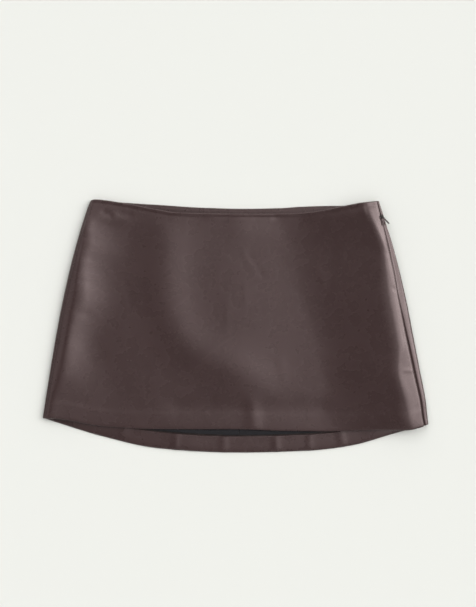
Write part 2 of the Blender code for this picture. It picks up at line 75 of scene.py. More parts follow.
# How far a side fold swells past that outline. The left corner of the waist is rounded off.
Swell = namedtuple("Swell", "down outward")
LEFT_SWELL = table(
    Swell,
    (0.000, 0.0016), (0.008, 0.0008), (0.030, 0.0), (1.000, 0.0),
)
RIGHT_SWELL = table(
    Swell,
    (0.00, 0.0), (0.10, 0.0004), (0.20, 0.0015), (0.30, 0.0015),
    (0.44, 0.0013), (0.62, 0.0002), (0.76, 0.0004), (0.89, 0.0013),
    (0.96, 0.0003), (1.00, 0.0),
)

# How far an edge hangs below the straight line between its corners.
Drop = namedtuple("Drop", "across drop")
FRONT_WAIST = table(
    Drop,
    (0.000, 0.0010), (0.009, 0.0006), (0.120, 0.0058), (0.210, 0.0122),
    (0.300, 0.0176), (0.420, 0.0186), (0.690, 0.0181), (0.770, 0.0154),
    (0.880, 0.0073), (0.936, 0.0031), (1.000, 0.0000),
)
BACK_WAIST = table(
    Drop,
    (0.000, 0.0010), (0.009, 0.0006), (0.07, 0.0033), (0.17, 0.0059),
    (0.24, 0.0074), (0.38, 0.0106), (0.52, 0.0118), (0.66, 0.0105),
    (0.73, 0.0085), (0.83, 0.0070), (0.90, 0.0066), (0.96, 0.0036),
    (1.00, 0.0000),
)
FRONT_HEM = table(
    Drop,
    (0.000, 0.0000), (0.045, 0.0012), (0.160, 0.0103), (0.280, 0.0126),
    (0.400, 0.0119), (0.510, 0.0109), (0.620, 0.0120), (0.720, 0.0118),
    (0.860, 0.0091), (0.940, 0.0082), (0.975, 0.0046), (1.000, 0.0000),
)
BACK_HEM = table(
    Drop,
    (0.00, 0.0000), (0.05, 0.0080), (0.15, 0.0231), (0.30, 0.0388),
    (0.48, 0.0430), (0.69, 0.0387), (0.80, 0.0307), (0.90, 0.0149),
    (1.00, 0.0000),
)

# ---- side folds ------------------------------------------------------------
# Insets are from the outline and heights over the floor. On the left the cloth rises from the seam to
# a low crest and falls past a brow to the level front. On the right it rises to a higher crest, breaks
# over a shoulder and runs down to the seam with the zip.
FOLD_FOOT = 0.0055
LEFT_EDGE_HEIGHT = 0.0052
LeftSide = namedtuple(
    "LeftSide",
    "down seam_inset seam_height crest_inset crest_height brow_run brow_drop brow_heading slope_end",
)
LEFT_SIDE = table(
    LeftSide,
    (0.00, 0.0014, 0.0080, 0.0056, 0.0090, 0.008, 0.0002, -1.0, 0.076),
    (0.06, 0.0019, 0.0088, 0.0058, 0.0100, 0.007, 0.0002, -1.0, 0.076),
    (0.12, 0.0023, 0.0094, 0.0064, 0.0116, 0.008, 0.0006, -8.0, 0.076),
    (0.21, 0.0025, 0.0098, 0.0105, 0.0123, 0.013, 0.0010, -8.5, 0.076),
    (0.30, 0.0027, 0.0099, 0.0116, 0.0131, 0.012, 0.0014, -11.8, 0.076),
    (0.46, 0.0028, 0.0099, 0.0165, 0.0132, 0.017, 0.0017, -10.6, 0.078),
    (0.64, 0.0028, 0.0096, 0.0160, 0.0131, 0.013, 0.0020, -13.5, 0.080),
    (0.79, 0.0027, 0.0090, 0.0155, 0.0116, 0.012, 0.0011, -7.6, 0.100),
    (0.91, 0.0025, 0.0084, 0.0102, 0.0100, 0.010, 0.0005, -3.6, 0.122),
    (1.00, 0.0024, 0.0082, 0.0088, 0.0096, 0.009, 0.0004, -3.5, 0.134),
)
LEFT_SEAM_LEAVES = 20.0
LEFT_SEAM_ARRIVES = 66.0
RightSide = namedtuple(
    "RightSide",
    "down seam_inset seam_height shoulder_inset crest_inset crest_height slope_end rise_run edge_height",
)
RIGHT_SIDE = table(
    RightSide,
    (0.000, 0.0019, 0.0114, 0.0122, 0.0180, 0.0160, 0.118, 0.010, 0.0098),
    (0.050, 0.0027, 0.0119, 0.0130, 0.0180, 0.0172, 0.130, 0.008, 0.0098),
    (0.107, 0.0030, 0.0115, 0.0122, 0.0160, 0.0168, 0.142, 0.006, 0.0096),
    (0.196, 0.0048, 0.0112, 0.0103, 0.0146, 0.0158, 0.152, 0.006, 0.0080),
    (0.286, 0.0064, 0.0114, 0.0122, 0.0185, 0.0156, 0.150, 0.009, 0.0074),
    (0.442, 0.0084, 0.0110, 0.0150, 0.0235, 0.0158, 0.141, 0.015, 0.0049),
    (0.540, 0.0080, 0.0108, 0.0158, 0.0235, 0.0160, 0.137, 0.014, 0.0044),
    (0.620, 0.0074, 0.0104, 0.0162, 0.0237, 0.0162, 0.135, 0.012, 0.0042),
    (0.763, 0.0066, 0.0098, 0.0240, 0.0306, 0.0172, 0.135, 0.010, 0.0042),
    (0.888, 0.0056, 0.0094, 0.0165, 0.0280, 0.0156, 0.146, 0.013, 0.0044),
    (0.955, 0.0052, 0.0092, 0.0155, 0.0262, 0.0152, 0.146, 0.014, 0.0046),
    (1.000, 0.0041, 0.0092, 0.0140, 0.0235, 0.0142, 0.146, 0.014, 0.0048),
)
RIGHT_RISE_SLOPE = 0.060
RIGHT_RISE_HEADING = 6.5
SHOULDER_SLOPE = 0.18
SHOULDER_HEADING_SHARE = 0.9
SEAM_HEADING_SHARE = 1.35
RIGHT_SEAM_LEAVES = -60.0

Level = namedtuple("Level", "down left right")
FRONT_LEVEL = table(
    Level,
    (0.00, 0.0082, 0.0060), (0.05, 0.0083, 0.0061), (0.12, 0.0079, 0.0062),
    (0.20, 0.0076, 0.0062), (0.50, 0.0078, 0.0062), (0.75, 0.0070, 0.0063),
    (0.90, 0.0063, 0.0064), (1.00, 0.0061, 0.0066),
)

# ---- creases ---------------------------------------------------------------
# Each one follows a path on the front panel. A height above 0 is a ridge and one below 0 a trough.
Crease = namedtuple("Crease", "path half_width height")
FRONT_CREASES = [
    # the long soft fold from the waist, which turns off towards the middle of the hem
    Crease(
        [
            (-0.0949, 0.133),
            (-0.0949, 0.0351),
            (-0.0867, 0.0079),
            (-0.0772, -0.0139),
            (-0.0622, -0.0329),
            (-0.0187, -0.0533),
            (0.0262, -0.0724),
            (0.0420, -0.0790),
        ],
        0.030,
        0.0019,
    ),
    Crease([(-0.005, 0.117), (0.003, -0.101)], 0.045, 0.0006),
    Crease([(0.078, 0.124), (0.104, -0.080)], 0.035, -0.0003),
    # the dip above the hem's turn-up
    Crease([(-0.090, -0.1125), (0.013, -0.1130), (0.128, -0.1130)], 0.014, -0.0007),
    Crease([(0.022, -0.100), (0.025, -0.144)], 0.010, 0.0007),
    # a ridge and a trough that run down from the waist edge
    Crease([(0.002, 0.154), (0.006, 0.128)], 0.020, 0.0008),
    Crease([(0.054, 0.154), (0.060, 0.134)], 0.018, -0.0008),
    # where the waist edge lifts
    Crease([(-0.082, 0.157), (-0.022, 0.156)], 0.012, 0.0010),
    Crease([(0.062, 0.157), (0.118, 0.158)], 0.012, 0.0010),
    # puckers below the waist edge
    Crease([(-0.080, 0.1480), (-0.042, 0.1475)], 0.005, -0.0003),
    Crease([(0.051, 0.1480), (0.093, 0.1485)], 0.005, -0.0004),
    Crease([(0.131, 0.1520), (0.147, 0.1545)], 0.004, -0.0003),
    Crease([(0.155, 0.1560), (0.166, 0.1590)], 0.004, -0.0003),
    Crease([(-0.182, 0.1550), (-0.167, 0.1475)], 0.004, -0.0004),
    Crease([(-0.160, 0.1520), (-0.140, 0.1500)], 0.004, -0.0003),
    Crease([(0.172, 0.1640), (0.174, 0.1520)], 0.0035, 0.00035),
    Crease([(0.0475, 0.152), (0.0473, 0.141)], 0.0015, 0.0001),
    # small creases in the middle
    Crease([(0.016, 0.098), (0.036, 0.067)], 0.004, -0.00014),
    Crease([(0.010, 0.103), (0.028, 0.073)], 0.005, 0.00010),
    Crease([(0.0126, 0.059), (0.0126, 0.030)], 0.002, 0.00012),
    Crease([(-0.010, 0.030), (-0.014, -0.010)], 0.004, 0.00010),
    Crease([(0.110, 0.080), (0.122, 0.052)], 0.005, 0.00014),
    Crease([(0.060, -0.040), (0.066, -0.075)], 0.006, 0.00012),
    Crease([(-0.150, 0.060), (-0.140, 0.020)], 0.006, -0.00012),
    # across the bright band beside the zip
    Crease([(0.227, -0.0605), (0.240, -0.0615)], 0.002, 0.0003),
    Crease([(0.212, 0.052), (0.219, 0.047)], 0.003, -0.0003),
    Crease([(0.203, 0.101), (0.207, 0.094)], 0.003, -0.0003),
    # dents across the sheen beside the left fold
    Crease([(-0.207, 0.121), (-0.190, 0.118)], 0.004, -0.00016),
    Crease([(-0.210, 0.094), (-0.192, 0.090)], 0.005, -0.00018),
    Crease([(-0.215, 0.062), (-0.195, 0.057)], 0.005, -0.00014),
    Crease([(-0.219, 0.020), (-0.198, 0.014)], 0.006, -0.00016),
]
HEM_STRIP_CREASES = [
    Crease([(-0.070, -0.140), (-0.070, -0.178)], 0.030, 0.00090),
    Crease([(0.195, -0.132), (0.198, -0.152)], 0.025, 0.00220),
    Crease([(-0.080, -0.140), (-0.083, -0.172)], 0.0040, 0.00050),
    Crease([(-0.016, -0.146), (-0.017, -0.174)], 0.0045, 0.00045),
    Crease([(0.054, -0.146), (0.056, -0.174)], 0.0045, 0.00055),
    Crease([(0.101, -0.144), (0.100, -0.172)], 0.0035, 0.00045),
    Crease([(0.142, -0.140), (0.146, -0.166)], 0.0050, 0.00045),
    Crease([(-0.150, -0.128), (-0.154, -0.150)], 0.0050, 0.00030),
]
CREASE_SAMPLES = 2.0
SEAM_FADE = 0.0080

# ---- edges and seams -------------------------------------------------------
TURN_UP = 0.0225
TURN_UP_RELIEF = 0.00020
TURN_UP_SOFTNESS = 0.0080
HEM_ROLL = 0.0035
HEM_ROLL_SHARE = 0.07
BACK_HEM_ROLL = 0.0060
BACK_HEM_ROLL_SHARE = 0.10
WAIST_RISE_WIDTH = 0.0150
WAIST_RISE = 0.0006
BACK_TURN_UP_DOWN = 0.9325
WAIST_TURNED = 0.0030
WAIST_GROOVE = 0.00025
WAIST_GROOVE_AT = 0.0046
WAIST_GROOVE_HALF_WIDTH = 0.0020
SEAM_ROUND_TOP = 0.0005
SEAM_ROUND = 0.0009
CENTRE_SEAM_ROUND = 0.0003
# A side seam lies in a shallow dip with a narrow groove in its middle. All the columns of a row sink the
# same way there, so that the cloth never folds back on itself.
SEAM_DIP_WIDTH = 0.0022
SEAM_DIP_LEFT = 0.0004
SEAM_DIP_RIGHT_TOP = 0.0003
SEAM_DIP_RIGHT_BOTTOM = 0.0010
SEAM_DIP_COLUMNS = 6
SEAM_GROOVE_LEFT = 0.0003
SEAM_GROOVE_RIGHT = 0.0013
SEAM_GROOVE_WIDTH = 0.0010
SEAM_DEEPENS_FROM = 0.30
SEAM_DEEPENS_BY = 0.35
EDGE_STEP = 0.0010
FACING_TOP = 0.0108
FACING_END = 0.1150
RIM_STEPS = 6

# ---- rows and columns of the fine shells -----------------------------------
ROW_SPACING = 0.0070
FINE_ROW_SPACING = 0.0014
FINE_ROWS = 5
TUBE_SPANS = {
    "left_seam": 12,
    "left_crest": 12,
    "left_brow": 34,
    "left_slope_end": 100,
    "right_slope_end": 36,
    "right_rise": 10,
    "right_crest": 10,
    "right_shoulder": 12,
    "right_seam": 10,
    "right_edge": 8,
    "right_foot": 70,
    "centre_back": 70,
    "left_foot": 8,
    "left_edge": 10,
}
SEAM_SHARES = [0.0, 0.10, 0.25, 0.45, 0.70]

# ---- inner shorts ----------------------------------------------------------
SHORTS_FLOOR = CLOTH + SEAM_GAP
SHORTS_FOLD_RADIUS = 0.0012
SHORTS_WAIST_HALF = 0.172
SHORTS_HEM_HALF = 0.220
SHORTS_CENTRE_X = 0.004
SHORTS_HEM_DOWN = 0.9245
SHORTS_ROWS = 72
SHORTS_COLUMNS = 48
CROTCH_DOWN = 0.72
SHORTS_STEP_DOWN = 0.01
SHORTS_TURN_UP_DOWN = 0.94
SHORTS_SINGLE_THINNER = 0.00015
SHORTS_WAVE = 0.00025
SHORTS_WAVES_ACROSS = 90
SHORTS_WAVES_LEAN = 5
SHORTS_WAVES_DOWN = 9
CURL_STEPS = 8

# ---- zip -------------------------------------------------------------------
ZIP_OPEN_HALF_GAP = 0.0005
ZIP_OPEN_END = 0.066
ZIP_CLOSED = 0.080
ZIP_OPEN_REACH = 0.0060
ZIP_TOP = 0.0125
ZIP_BOTTOM = 0.60
BESIDE_SEAM_COLUMNS = 40
TAPE_SETBACK = 0.0004
TAPE_WIDTH = 0.0100
TAPE_COLUMNS = 7
TOOTH_PITCH = 0.00125
TOOTH_LENGTH = 0.0019
TOOTH_RADIUS = 0.00042
TOOTH_PAST_EDGE = 0.3
PULL_SWING = math.radians(30.0)
EYE_HEIGHT = 0.0017
EYE_BACK = 0.0008
EYE_RADIUS = 0.00095
EYE_WALL = 0.0008
EYE_FROM = -15
EYE_TO = 195
EYE_STEPS = 16
NECK_LENGTH = 0.0046
NECK_THICKNESS = 0.0009
NECK_TOP = 0.0013
NECK_END_SHARE = 0.6
NECK_CORNER = 0.0004
SLIDER_LENGTH = 0.0080
SLIDER_FRONT_WIDTH = 0.0052
SLIDER_REAR_WIDTH = 0.0038
SLIDER_PLATE = 0.0008
SLIDER_DEPTH = 0.0038
# Corners of half the slider's plate: how far each lies from its end, and its share of the half width.
SLIDER_NOSE = [(0.0, 0.0), (0.0, 0.45), (0.0004, 0.8), (0.0014, 1.0)]
SLIDER_TAIL = [(0.001, 1.0), (0.0003, 0.8), (0.0, 0.4)]
PULL_LENGTH = 0.0152
PULL_ROOT_WIDTH = 0.0040
PULL_NECK_WIDTH = 0.0026
PULL_NECK_FROM = 0.0056
PULL_MIDDLE_AT = 0.0089
PULL_MIDDLE_WIDTH = 0.0030
PULL_TIP_WIDTH = 0.0036
PULL_CORNER = 0.0006
PULL_THICKNESS = 0.0009
PULL_RIM = 0.0010
PULL_SLOT_LENGTH = 0.0024
PULL_SLOT_WIDTH = 0.0020
PULL_SLOT_CORNER = 0.0004
# Corners where the tab's root ends: how far past the slot's rim each lies, and how far in from the side.
PULL_SHOULDER = [(-0.0003, 0.0), (0.0002, 0.0001)]
GRIP_FROM_TIP = 0.0012
GRIP_HALF_WIDTH = 0.0009
GRIP_CORNER = 0.0008
GRIP_RELIEF = 0.0004
PLATE_BEVEL = 0.00020
PLATE_BEVEL_STEPS = 3
ARC_STEPS = 8
CORNER_STEPS = 4
ON_THE_AXIS = 1e-6

# ---- sewing ----------------------------------------------------------------
THREAD_RADIUS = 0.00022
STITCH_PITCH = 0.0030
STITCH_LENGTH = 0.0023
STITCH_FROM_EDGE = 0.0020
STITCH_LIFT = 0.3
TWIN_NEEDLE_GAP = 0.0045
BAR_SIDES = 6
BAR_STATIONS = [(0.0, 0.45), (0.18, 1.0), (0.82, 1.0), (1.0, 0.45)]

# Angles in degrees above which an edge stays sharp.
SHARP_CLOTH = 50
SHARP_BAR = 80
SHARP_PLATE = 40


# ---- curves ----------------------------------------------------------------
def between(low, high, share):
    return low + (high - low) * share


def ease(share):
    share = np.clip(share, 0.0, 1.0)
    return share * share * (3 - 2 * share)


def through(rows, column, key, at):
    """The column's value where the key column is `at`, on a curve that never overshoots the rows."""
    keys = np.array([getattr(row, key) for row in rows])
    values = np.array([getattr(row, column) for row in rows])
    steps = np.diff(keys)
    rises = np.diff(values) / steps
    slopes = np.zeros(len(rows))
    slopes[0] = rises[0]
    slopes[-1] = rises[-1]
    for i in range(1, len(rows) - 1):
        if rises[i - 1] * rises[i] > 0:
            slopes[i] = 2 * rises[i - 1] * rises[i] / (rises[i - 1] + rises[i])
    at = np.clip(at, keys[0], keys[-1])
    i = np.clip(np.searchsorted(keys, at, side="right") - 1, 0, len(steps) - 1)
    t = (at - keys[i]) / steps[i]
    start = values[i] * (1 + 2 * t) * (1 - t) ** 2 + slopes[i] * steps[i] * t * (1 - t) ** 2
    end = values[i + 1] * t * t * (3 - 2 * t) + slopes[i + 1] * steps[i] * t * t * (t - 1)
    return start + end


def unit(vectors):
    return vectors / np.linalg.norm(vectors, axis=-1, keepdims=True)


def lengths_along(line):
    """How far each point of a line lies along it. Columns after the third don't count as places."""
    return np.concatenate([[0.0], np.cumsum(np.linalg.norm(np.diff(line[:, :3], axis=0), axis=1))])


def points_along(line, distances):
    lengths = lengths_along(line)
    return np.column_stack([np.interp(distances, lengths, line[:, k]) for k in range(line.shape[1])])


# ---- form of the tube ------------------------------------------------------
def side_edge(outline, down):
    """X and Y of a point of the left or right side fold."""
    hip = 4 * down * (1 - down) * (1 + outline.skew * (0.5 - down))
    x = between(outline.waist_x, outline.hem_x, down) + outline.outward * outline.bulge * hip
    x += through(RIGHT_SWELL if outline.outward > 0 else LEFT_SWELL, "outward", "down", down)
    return x, between(outline.waist_y, outline.hem_y, down)


def plan_y(x, down, on_front):
    """How far up the garment points at x lie. `on_front` is 1 on the front panel and 0 on the back."""
    left_x, left_y = side_edge(LEFT_OUTLINE, down)
    right_x, right_y = side_edge(RIGHT_OUTLINE, down)
    across = np.clip((x - left_x) / (right_x - left_x), 0.0, 1.0)
    drops = []
    for waist, hem in ((BACK_WAIST, BACK_HEM), (FRONT_WAIST, FRONT_HEM)):
        waist_drop = through(waist, "drop", "across", across)
        hem_drop = through(hem, "drop", "across", across)
        drops.append(between(waist_drop, hem_drop, down))
    return between(left_y, right_y, across) - between(drops[0], drops[1], on_front)


Place = namedtuple("Place", "x z arrives leaves on_front")


def ring_places(down):
    """The named places of a ring, from the left seam over the front and back along the floor."""
    left, right = side_edge(LEFT_OUTLINE, down)[0], side_edge(RIGHT_OUTLINE, down)[0]
    on_left = LeftSide(*(through(LEFT_SIDE, name, "down", down) for name in LeftSide._fields))
    on_right = RightSide(*(through(RIGHT_SIDE, name, "down", down) for name in RightSide._fields))
    left_level = through(FRONT_LEVEL, "left", "down", down)
    right_level = through(FRONT_LEVEL, "right", "down", down)
    seam_x, crest_x = left + on_left.seam_inset, left + on_left.crest_inset
    brow_x, brow_z = crest_x + on_left.brow_run, on_left.crest_height - on_left.brow_drop
    right_crest_x = right - on_right.crest_inset
    rise_x = right_crest_x - on_right.rise_run
    rise_z = on_right.crest_height - RIGHT_RISE_SLOPE * on_right.rise_run
    shoulder_x = right - on_right.shoulder_inset
    shoulder_z = on_right.crest_height - SHOULDER_SLOPE * (shoulder_x - right_crest_x)
    right_seam_x = right - on_right.seam_inset
    fall = math.degrees(math.atan2(on_right.seam_height - shoulder_z, right_seam_x - shoulder_x))
    shoulder_heading, seam_heading = fall * SHOULDER_HEADING_SHARE, fall * SEAM_HEADING_SHARE
    centre_x = between(CENTRE_BACK_WAIST, CENTRE_BACK_HEM, down)
    return {
        "left_seam": Place(seam_x, on_left.seam_height, LEFT_SEAM_ARRIVES, LEFT_SEAM_LEAVES, 1),
        "left_crest": Place(crest_x, on_left.crest_height, 0, 0, 1),
        "left_brow": Place(brow_x, brow_z, on_left.brow_heading, on_left.brow_heading, 1),
        "left_slope_end": Place(left + on_left.slope_end, left_level, 0, 0, 1),
        "right_slope_end": Place(right - on_right.slope_end, right_level, 0, 0, 1),
        "right_rise": Place(rise_x, rise_z, RIGHT_RISE_HEADING, RIGHT_RISE_HEADING, 1),
        "right_crest": Place(right_crest_x, on_right.crest_height, 0, 0, 1),
        "right_shoulder": Place(shoulder_x, shoulder_z, shoulder_heading, shoulder_heading, 1),
        "right_seam": Place(right_seam_x, on_right.seam_height, seam_heading, RIGHT_SEAM_LEAVES, 1),
        "right_edge": Place(right, on_right.edge_height, -90, -90, 0),
        "right_foot": Place(right - FOLD_FOOT, 0.0, 180, 180, 0),
        "centre_back": Place(centre_x, 0.0, 180, 180, 0),
        "left_foot": Place(left + FOLD_FOOT, 0.0, 180, 180, 0),
        "left_edge": Place(left, LEFT_EDGE_HEIGHT, 90, 90, 0),
    }


SEAMS = ("left_seam", "right_seam", "centre_back")


def span_shares(name, following):
    """The shares of a span's columns, with finer ones beside a seam."""
    steps = TUBE_SPANS[name]
    shares = list(np.arange(steps) / steps)
    if name in SEAMS:
        shares = [share / steps for share in SEAM_SHARES] + shares[1:]
    if following in SEAMS:
        shares = shares + [1 - share / steps for share in SEAM_SHARES[:0:-1]]
    return np.array(shares)


def following_places():
    names = list(TUBE_SPANS)
    return list(zip(names, names[1:] + names[:1]))


def column_numbers():
    """The number of each named place's column in the tube's grid, and the number of columns."""
    numbers, count = {}, 0
    for name, following in following_places():
        numbers[name] = count
        count += len(span_shares(name, following))
    return numbers, count


COLUMN, COLUMN_COUNT = column_numbers()


def span_points(start, end, shares):
    """X and Z of points on the smooth curve from one named place to the next."""
    chord = math.hypot(end.x - start.x, end.z - start.z)
    leave, arrive = math.radians(start.leaves), math.radians(end.arrives)
    h_start, h_end = 1 - ease(shares), ease(shares)
    h_leave, h_arrive = shares * (1 - shares) ** 2, shares * shares * (shares - 1)

    def curve(low, high, leaving, arriving):
        return low * h_start + high * h_end + chord * (leaving * h_leave + arriving * h_arrive)

    x = curve(start.x, end.x, math.cos(leave), math.cos(arrive))
    z = curve(start.z, end.z, math.sin(leave), math.sin(arrive))
    return x, z


def ring_points(down):
    """The points of one closed ring of the tube."""
    places = ring_places(down)
    rows = []
    for name, following in following_places():
        start, end = places[name], places[following]
        shares = span_shares(name, following)
        x, z = span_points(start, end, shares)
        y = plan_y(x, down, between(start.on_front, end.on_front, shares))
        rows.append(np.column_stack([x, y, z]))
    return np.concatenate(rows)


def crease_height(creases, x, y):
    """The height that soft ridges and troughs add at places."""
    height = np.zeros_like(x)
    for crease in creases:
        path = np.array(crease.path)
        total = lengths_along(path)[-1]
        count = int(CREASE_SAMPLES * total / crease.half_width) + 2
        step = total / count
        for sample in points_along(path, (np.arange(count) + 0.5) * step):
            away = ((x - sample[0]) ** 2 + (y - sample[1]) ** 2) / crease.half_width ** 2
            height += crease.height * np.exp(-away) * step / (crease.half_width * math.sqrt(math.pi))
    return height


def wrap_difference(grid):
    """Differences along the closed rings."""
    return np.roll(grid, -1, axis=1) - np.roll(grid, 1, axis=1)


def surface_normals(points):
    return unit(np.cross(np.gradient(points, axis=0), wrap_difference(points)))


def distance_from_column(points, name):
    """For each point of the tube, how far it lies round its ring from a named place."""
    steps = np.linalg.norm(np.roll(points, -1, axis=1) - points, axis=2)
    along = np.cumsum(np.roll(steps, -COLUMN[name], axis=1), axis=1)
    forward = np.concatenate([np.zeros((len(points), 1)), along[:, :-1]], axis=1)
    nearest = np.minimum(forward, along[:, -1:] - forward)
    return np.roll(nearest, COLUMN[name], axis=1)


def distance_from_row(points, from_top):
    """For each point of the tube, how far it lies along its column from the first or last row."""
    steps = np.linalg.norm(np.diff(points, axis=0), axis=2)
    along = np.concatenate([np.zeros((1, points.shape[1])), np.cumsum(steps, axis=0)])
    return along if from_top else along[-1] - along


def tube_rows():
    """The rows of the tube, finer at the edges and where the hems' turn-ups and the facing begin."""
    edge = TURNED_EDGE / 2 / LENGTH
    first, last = edge, 1 - edge
    rows = set(np.linspace(first, last, round((last - first) / ROW_SPACING) + 1))
    for place in (first, FACING_TOP, 1 - TURN_UP / LENGTH, BACK_TURN_UP_DOWN, last):
        rows.update(place + step * FINE_ROW_SPACING for step in range(-FINE_ROWS, FINE_ROWS + 1))
    kept = [first]
    for row in sorted(rows):
        if first < row < last and row - kept[-1] > FINE_ROW_SPACING / 2:
            kept.append(row)
    if last - kept[-1] < FINE_ROW_SPACING / 2:
        kept.pop()
    return np.array(kept + [last])


Tube = namedtuple("Tube", "rows points normals from_waist from_hem from_seam")


def make_tube():
    """The outer face of the whole tube, with creases and sunken side seams, before the hems' relief."""
    rows = tube_rows()
    points = np.array([ring_points(down) for down in rows])
    from_seam = {name: distance_from_column(points, name) for name in SEAMS}
    on_front = np.zeros(COLUMN_COUNT, bool)
    on_front[: COLUMN["right_seam"]] = True
    inside = np.minimum(from_seam["left_seam"], from_seam["right_seam"]) / SEAM_FADE
    lift = crease_height(FRONT_CREASES, points[..., 0], points[..., 1]) * ease(inside) * on_front
    points[..., 2] += lift
    normals = surface_normals(points)
    dip_right = between(SEAM_DIP_RIGHT_TOP, SEAM_DIP_RIGHT_BOTTOM, deeper_seam(rows))[:, None]
    groove_right = SEAM_GROOVE_RIGHT * deeper_seam(rows)[:, None]
    for name, dip, groove in (
        ("left_seam", SEAM_DIP_LEFT, SEAM_GROOVE_LEFT),
        ("right_seam", dip_right, groove_right),
    ):
        depth = dip * np.exp(-((from_seam[name] / SEAM_DIP_WIDTH) ** 2))
        depth += groove * np.exp(-((from_seam[name] / SEAM_GROOVE_WIDTH) ** 2))
        beside = range(COLUMN[name] - SEAM_DIP_COLUMNS, COLUMN[name] + SEAM_DIP_COLUMNS + 1)
        outward = unit(np.take(normals, beside, axis=1, mode="wrap").mean(axis=1))
        points -= outward[:, None] * depth[..., None]
    normals = surface_normals(points)
    from_waist, from_hem = distance_from_row(points, True), distance_from_row(points, False)
    return Tube(rows, points, normals, from_waist, from_hem, from_seam)


def panel_columns(start, end):
    first, last = COLUMN[start], COLUMN[end]
    if last <= first:
        last += COLUMN_COUNT
    return np.arange(first, last + 1) % COLUMN_COUNT


def rounded_in(distance, radius):
    """How deep a rounded edge lies below the surface at a distance from the edge."""
    share = np.clip(1 - distance / radius, 0.0, 1.0)
    return radius * (1 - np.sqrt(1 - share ** 2))


def deeper_seam(down):
    """0 where the right side seam is shallow near the waist, 1 where it is deep."""
    return ease((down - SEAM_DEEPENS_FROM) / SEAM_DEEPENS_BY)


def seam_rounding(tube, name, columns):
    """How deep a panel's edge at a side seam turns in."""
    radius = between(SEAM_ROUND_TOP, SEAM_ROUND, deeper_seam(tube.rows))[:, None]
    radius = radius if name == "right_seam" else SEAM_ROUND
    return rounded_in(tube.from_seam[name][:, columns], radius)


def zip_opening(tube, columns, toward_front):
    """How the open seam above the slider parts the cloth at both sides of it."""
    opened = 1 - ease((tube.rows - ZIP_OPEN_END) / (ZIP_CLOSED - ZIP_OPEN_END))[:, None]
    near = np.clip(1 - tube.from_seam["right_seam"][:, columns] / ZIP_OPEN_REACH, 0.0, 1.0)
    along = unit(wrap_difference(tube.points))[:, columns]
    sign = -1 if toward_front else 1
    return along * (sign * ZIP_OPEN_HALF_GAP * opened * near)[..., None]


# ---- meshes ----------------------------------------------------------------
def link(name, mesh):
    piece = bpy.data.objects.new(name, mesh)
    bpy.context.scene.collection.objects.link(piece)
    return piece


def mesh_piece(name, points, faces, materials, face_slots=None, sharp=SHARP_CLOTH):
    mesh = bpy.data.meshes.new(name)
    mesh.from_pydata(points, [], faces)
    for material in materials:
        mesh.materials.append(material)
    if face_slots is not None:
        mesh.polygons.foreach_set("material_index", face_slots)
    mesh.validate()
    mesh.shade_smooth()
    mesh.set_sharp_from_angle(angle=math.radians(sharp))
    return link(name, mesh)


def rim_rows(outer, inner, beyond):
    """Rows of a half-round edge from the outer skin's end to the inner skin's end."""
    middle = (outer + inner) / 2
    radius = np.linalg.norm(outer - inner, axis=1)[:, None] / 2
    upward, away = unit(outer - inner), unit(outer - beyond)
    turns = [math.pi * step / RIM_STEPS for step in range(1, RIM_STEPS)]
    return [middle + upward * radius * math.cos(turn) + away * radius * math.sin(turn) for turn in turns]


def cloth_wall(name, outer, inner, materials, inner_slots=None):
    """A closed wall between two grids, with half-round edges above and below and plain seam ends."""
    rows, columns = outer.shape[:2]
    bottom = rim_rows(outer[-1], inner[-1], outer[-2])
    top = rim_rows(outer[0], inner[0], outer[1])[::-1]
    loop = np.concatenate([outer, np.array(bottom), inner[::-1], np.array(top)])
    around, rim = len(loop), RIM_STEPS - 1
    index = np.arange(around * columns).reshape(around, columns)
    below = np.roll(index, -1, axis=0)
    quads = np.stack([index[:, :-1], below[:, :-1], below[:, 1:], index[:, 1:]], axis=2)
    faces = quads.reshape(-1, 4).tolist()
    slots = np.zeros(around, int)
    if inner_slots is not None:
        slots[rows + rim : 2 * rows + rim] = inner_slots[::-1]
    face_slots = np.repeat(slots, columns - 1).tolist()
    for column, flip in ((0, False), (columns - 1, True)):
        ends = []
        for row in range(rows - 1):
            facing = 2 * rows + rim - 1 - row
            ends.append(index[[row, facing, facing - 1, row + 1], column])
        ends.append(index[rows - 1 : rows + rim + 1, column][::-1])
        ends.append(np.append(index[2 * rows + rim - 1 :, column], index[0, column])[::-1])
        for corners in ends:
            corners = corners[::-1] if flip else corners
            faces.append([int(corner) for corner in corners])
            face_slots.append(0)
    return mesh_piece(name, loop.reshape(-1, 3).tolist(), faces, materials, face_slots)


def round_bars(name, starts, ends, ups, radius, material):
    """Many small bars with rounded ends, one from each start to its end, as one mesh."""
    count = len(starts)
    run = ends - starts
    up = unit(ups - unit(run) * np.sum(ups * unit(run), axis=1, keepdims=True))
    side = np.cross(unit(run), up)
    turns = np.arange(BAR_SIDES) * 2 * math.pi / BAR_SIDES
    rings = []
    for share, width in BAR_STATIONS:
        centre = (starts + run * share)[:, None]
        around = up[:, None] * np.cos(turns)[:, None] + side[:, None] * np.sin(turns)[:, None]
        rings.append(centre + around * radius * width)
    points = np.stack(rings, axis=1).reshape(-1, 3)
    stations = len(BAR_STATIONS)
    faces = []
    for bar in range(count):
        base = bar * stations * BAR_SIDES
        for station in range(stations - 1):
            for k in range(BAR_SIDES):
                here = base + station * BAR_SIDES + k
                beside = base + station * BAR_SIDES + (k + 1) % BAR_SIDES
                faces.append([here, beside, beside + BAR_SIDES, here + BAR_SIDES])
        last = base + (stations - 1) * BAR_SIDES
        faces.append(list(range(base + BAR_SIDES - 1, base - 1, -1)))
        faces.append(list(range(last, last + BAR_SIDES)))
    return mesh_piece(name, points.tolist(), faces, [material], None, SHARP_BAR)


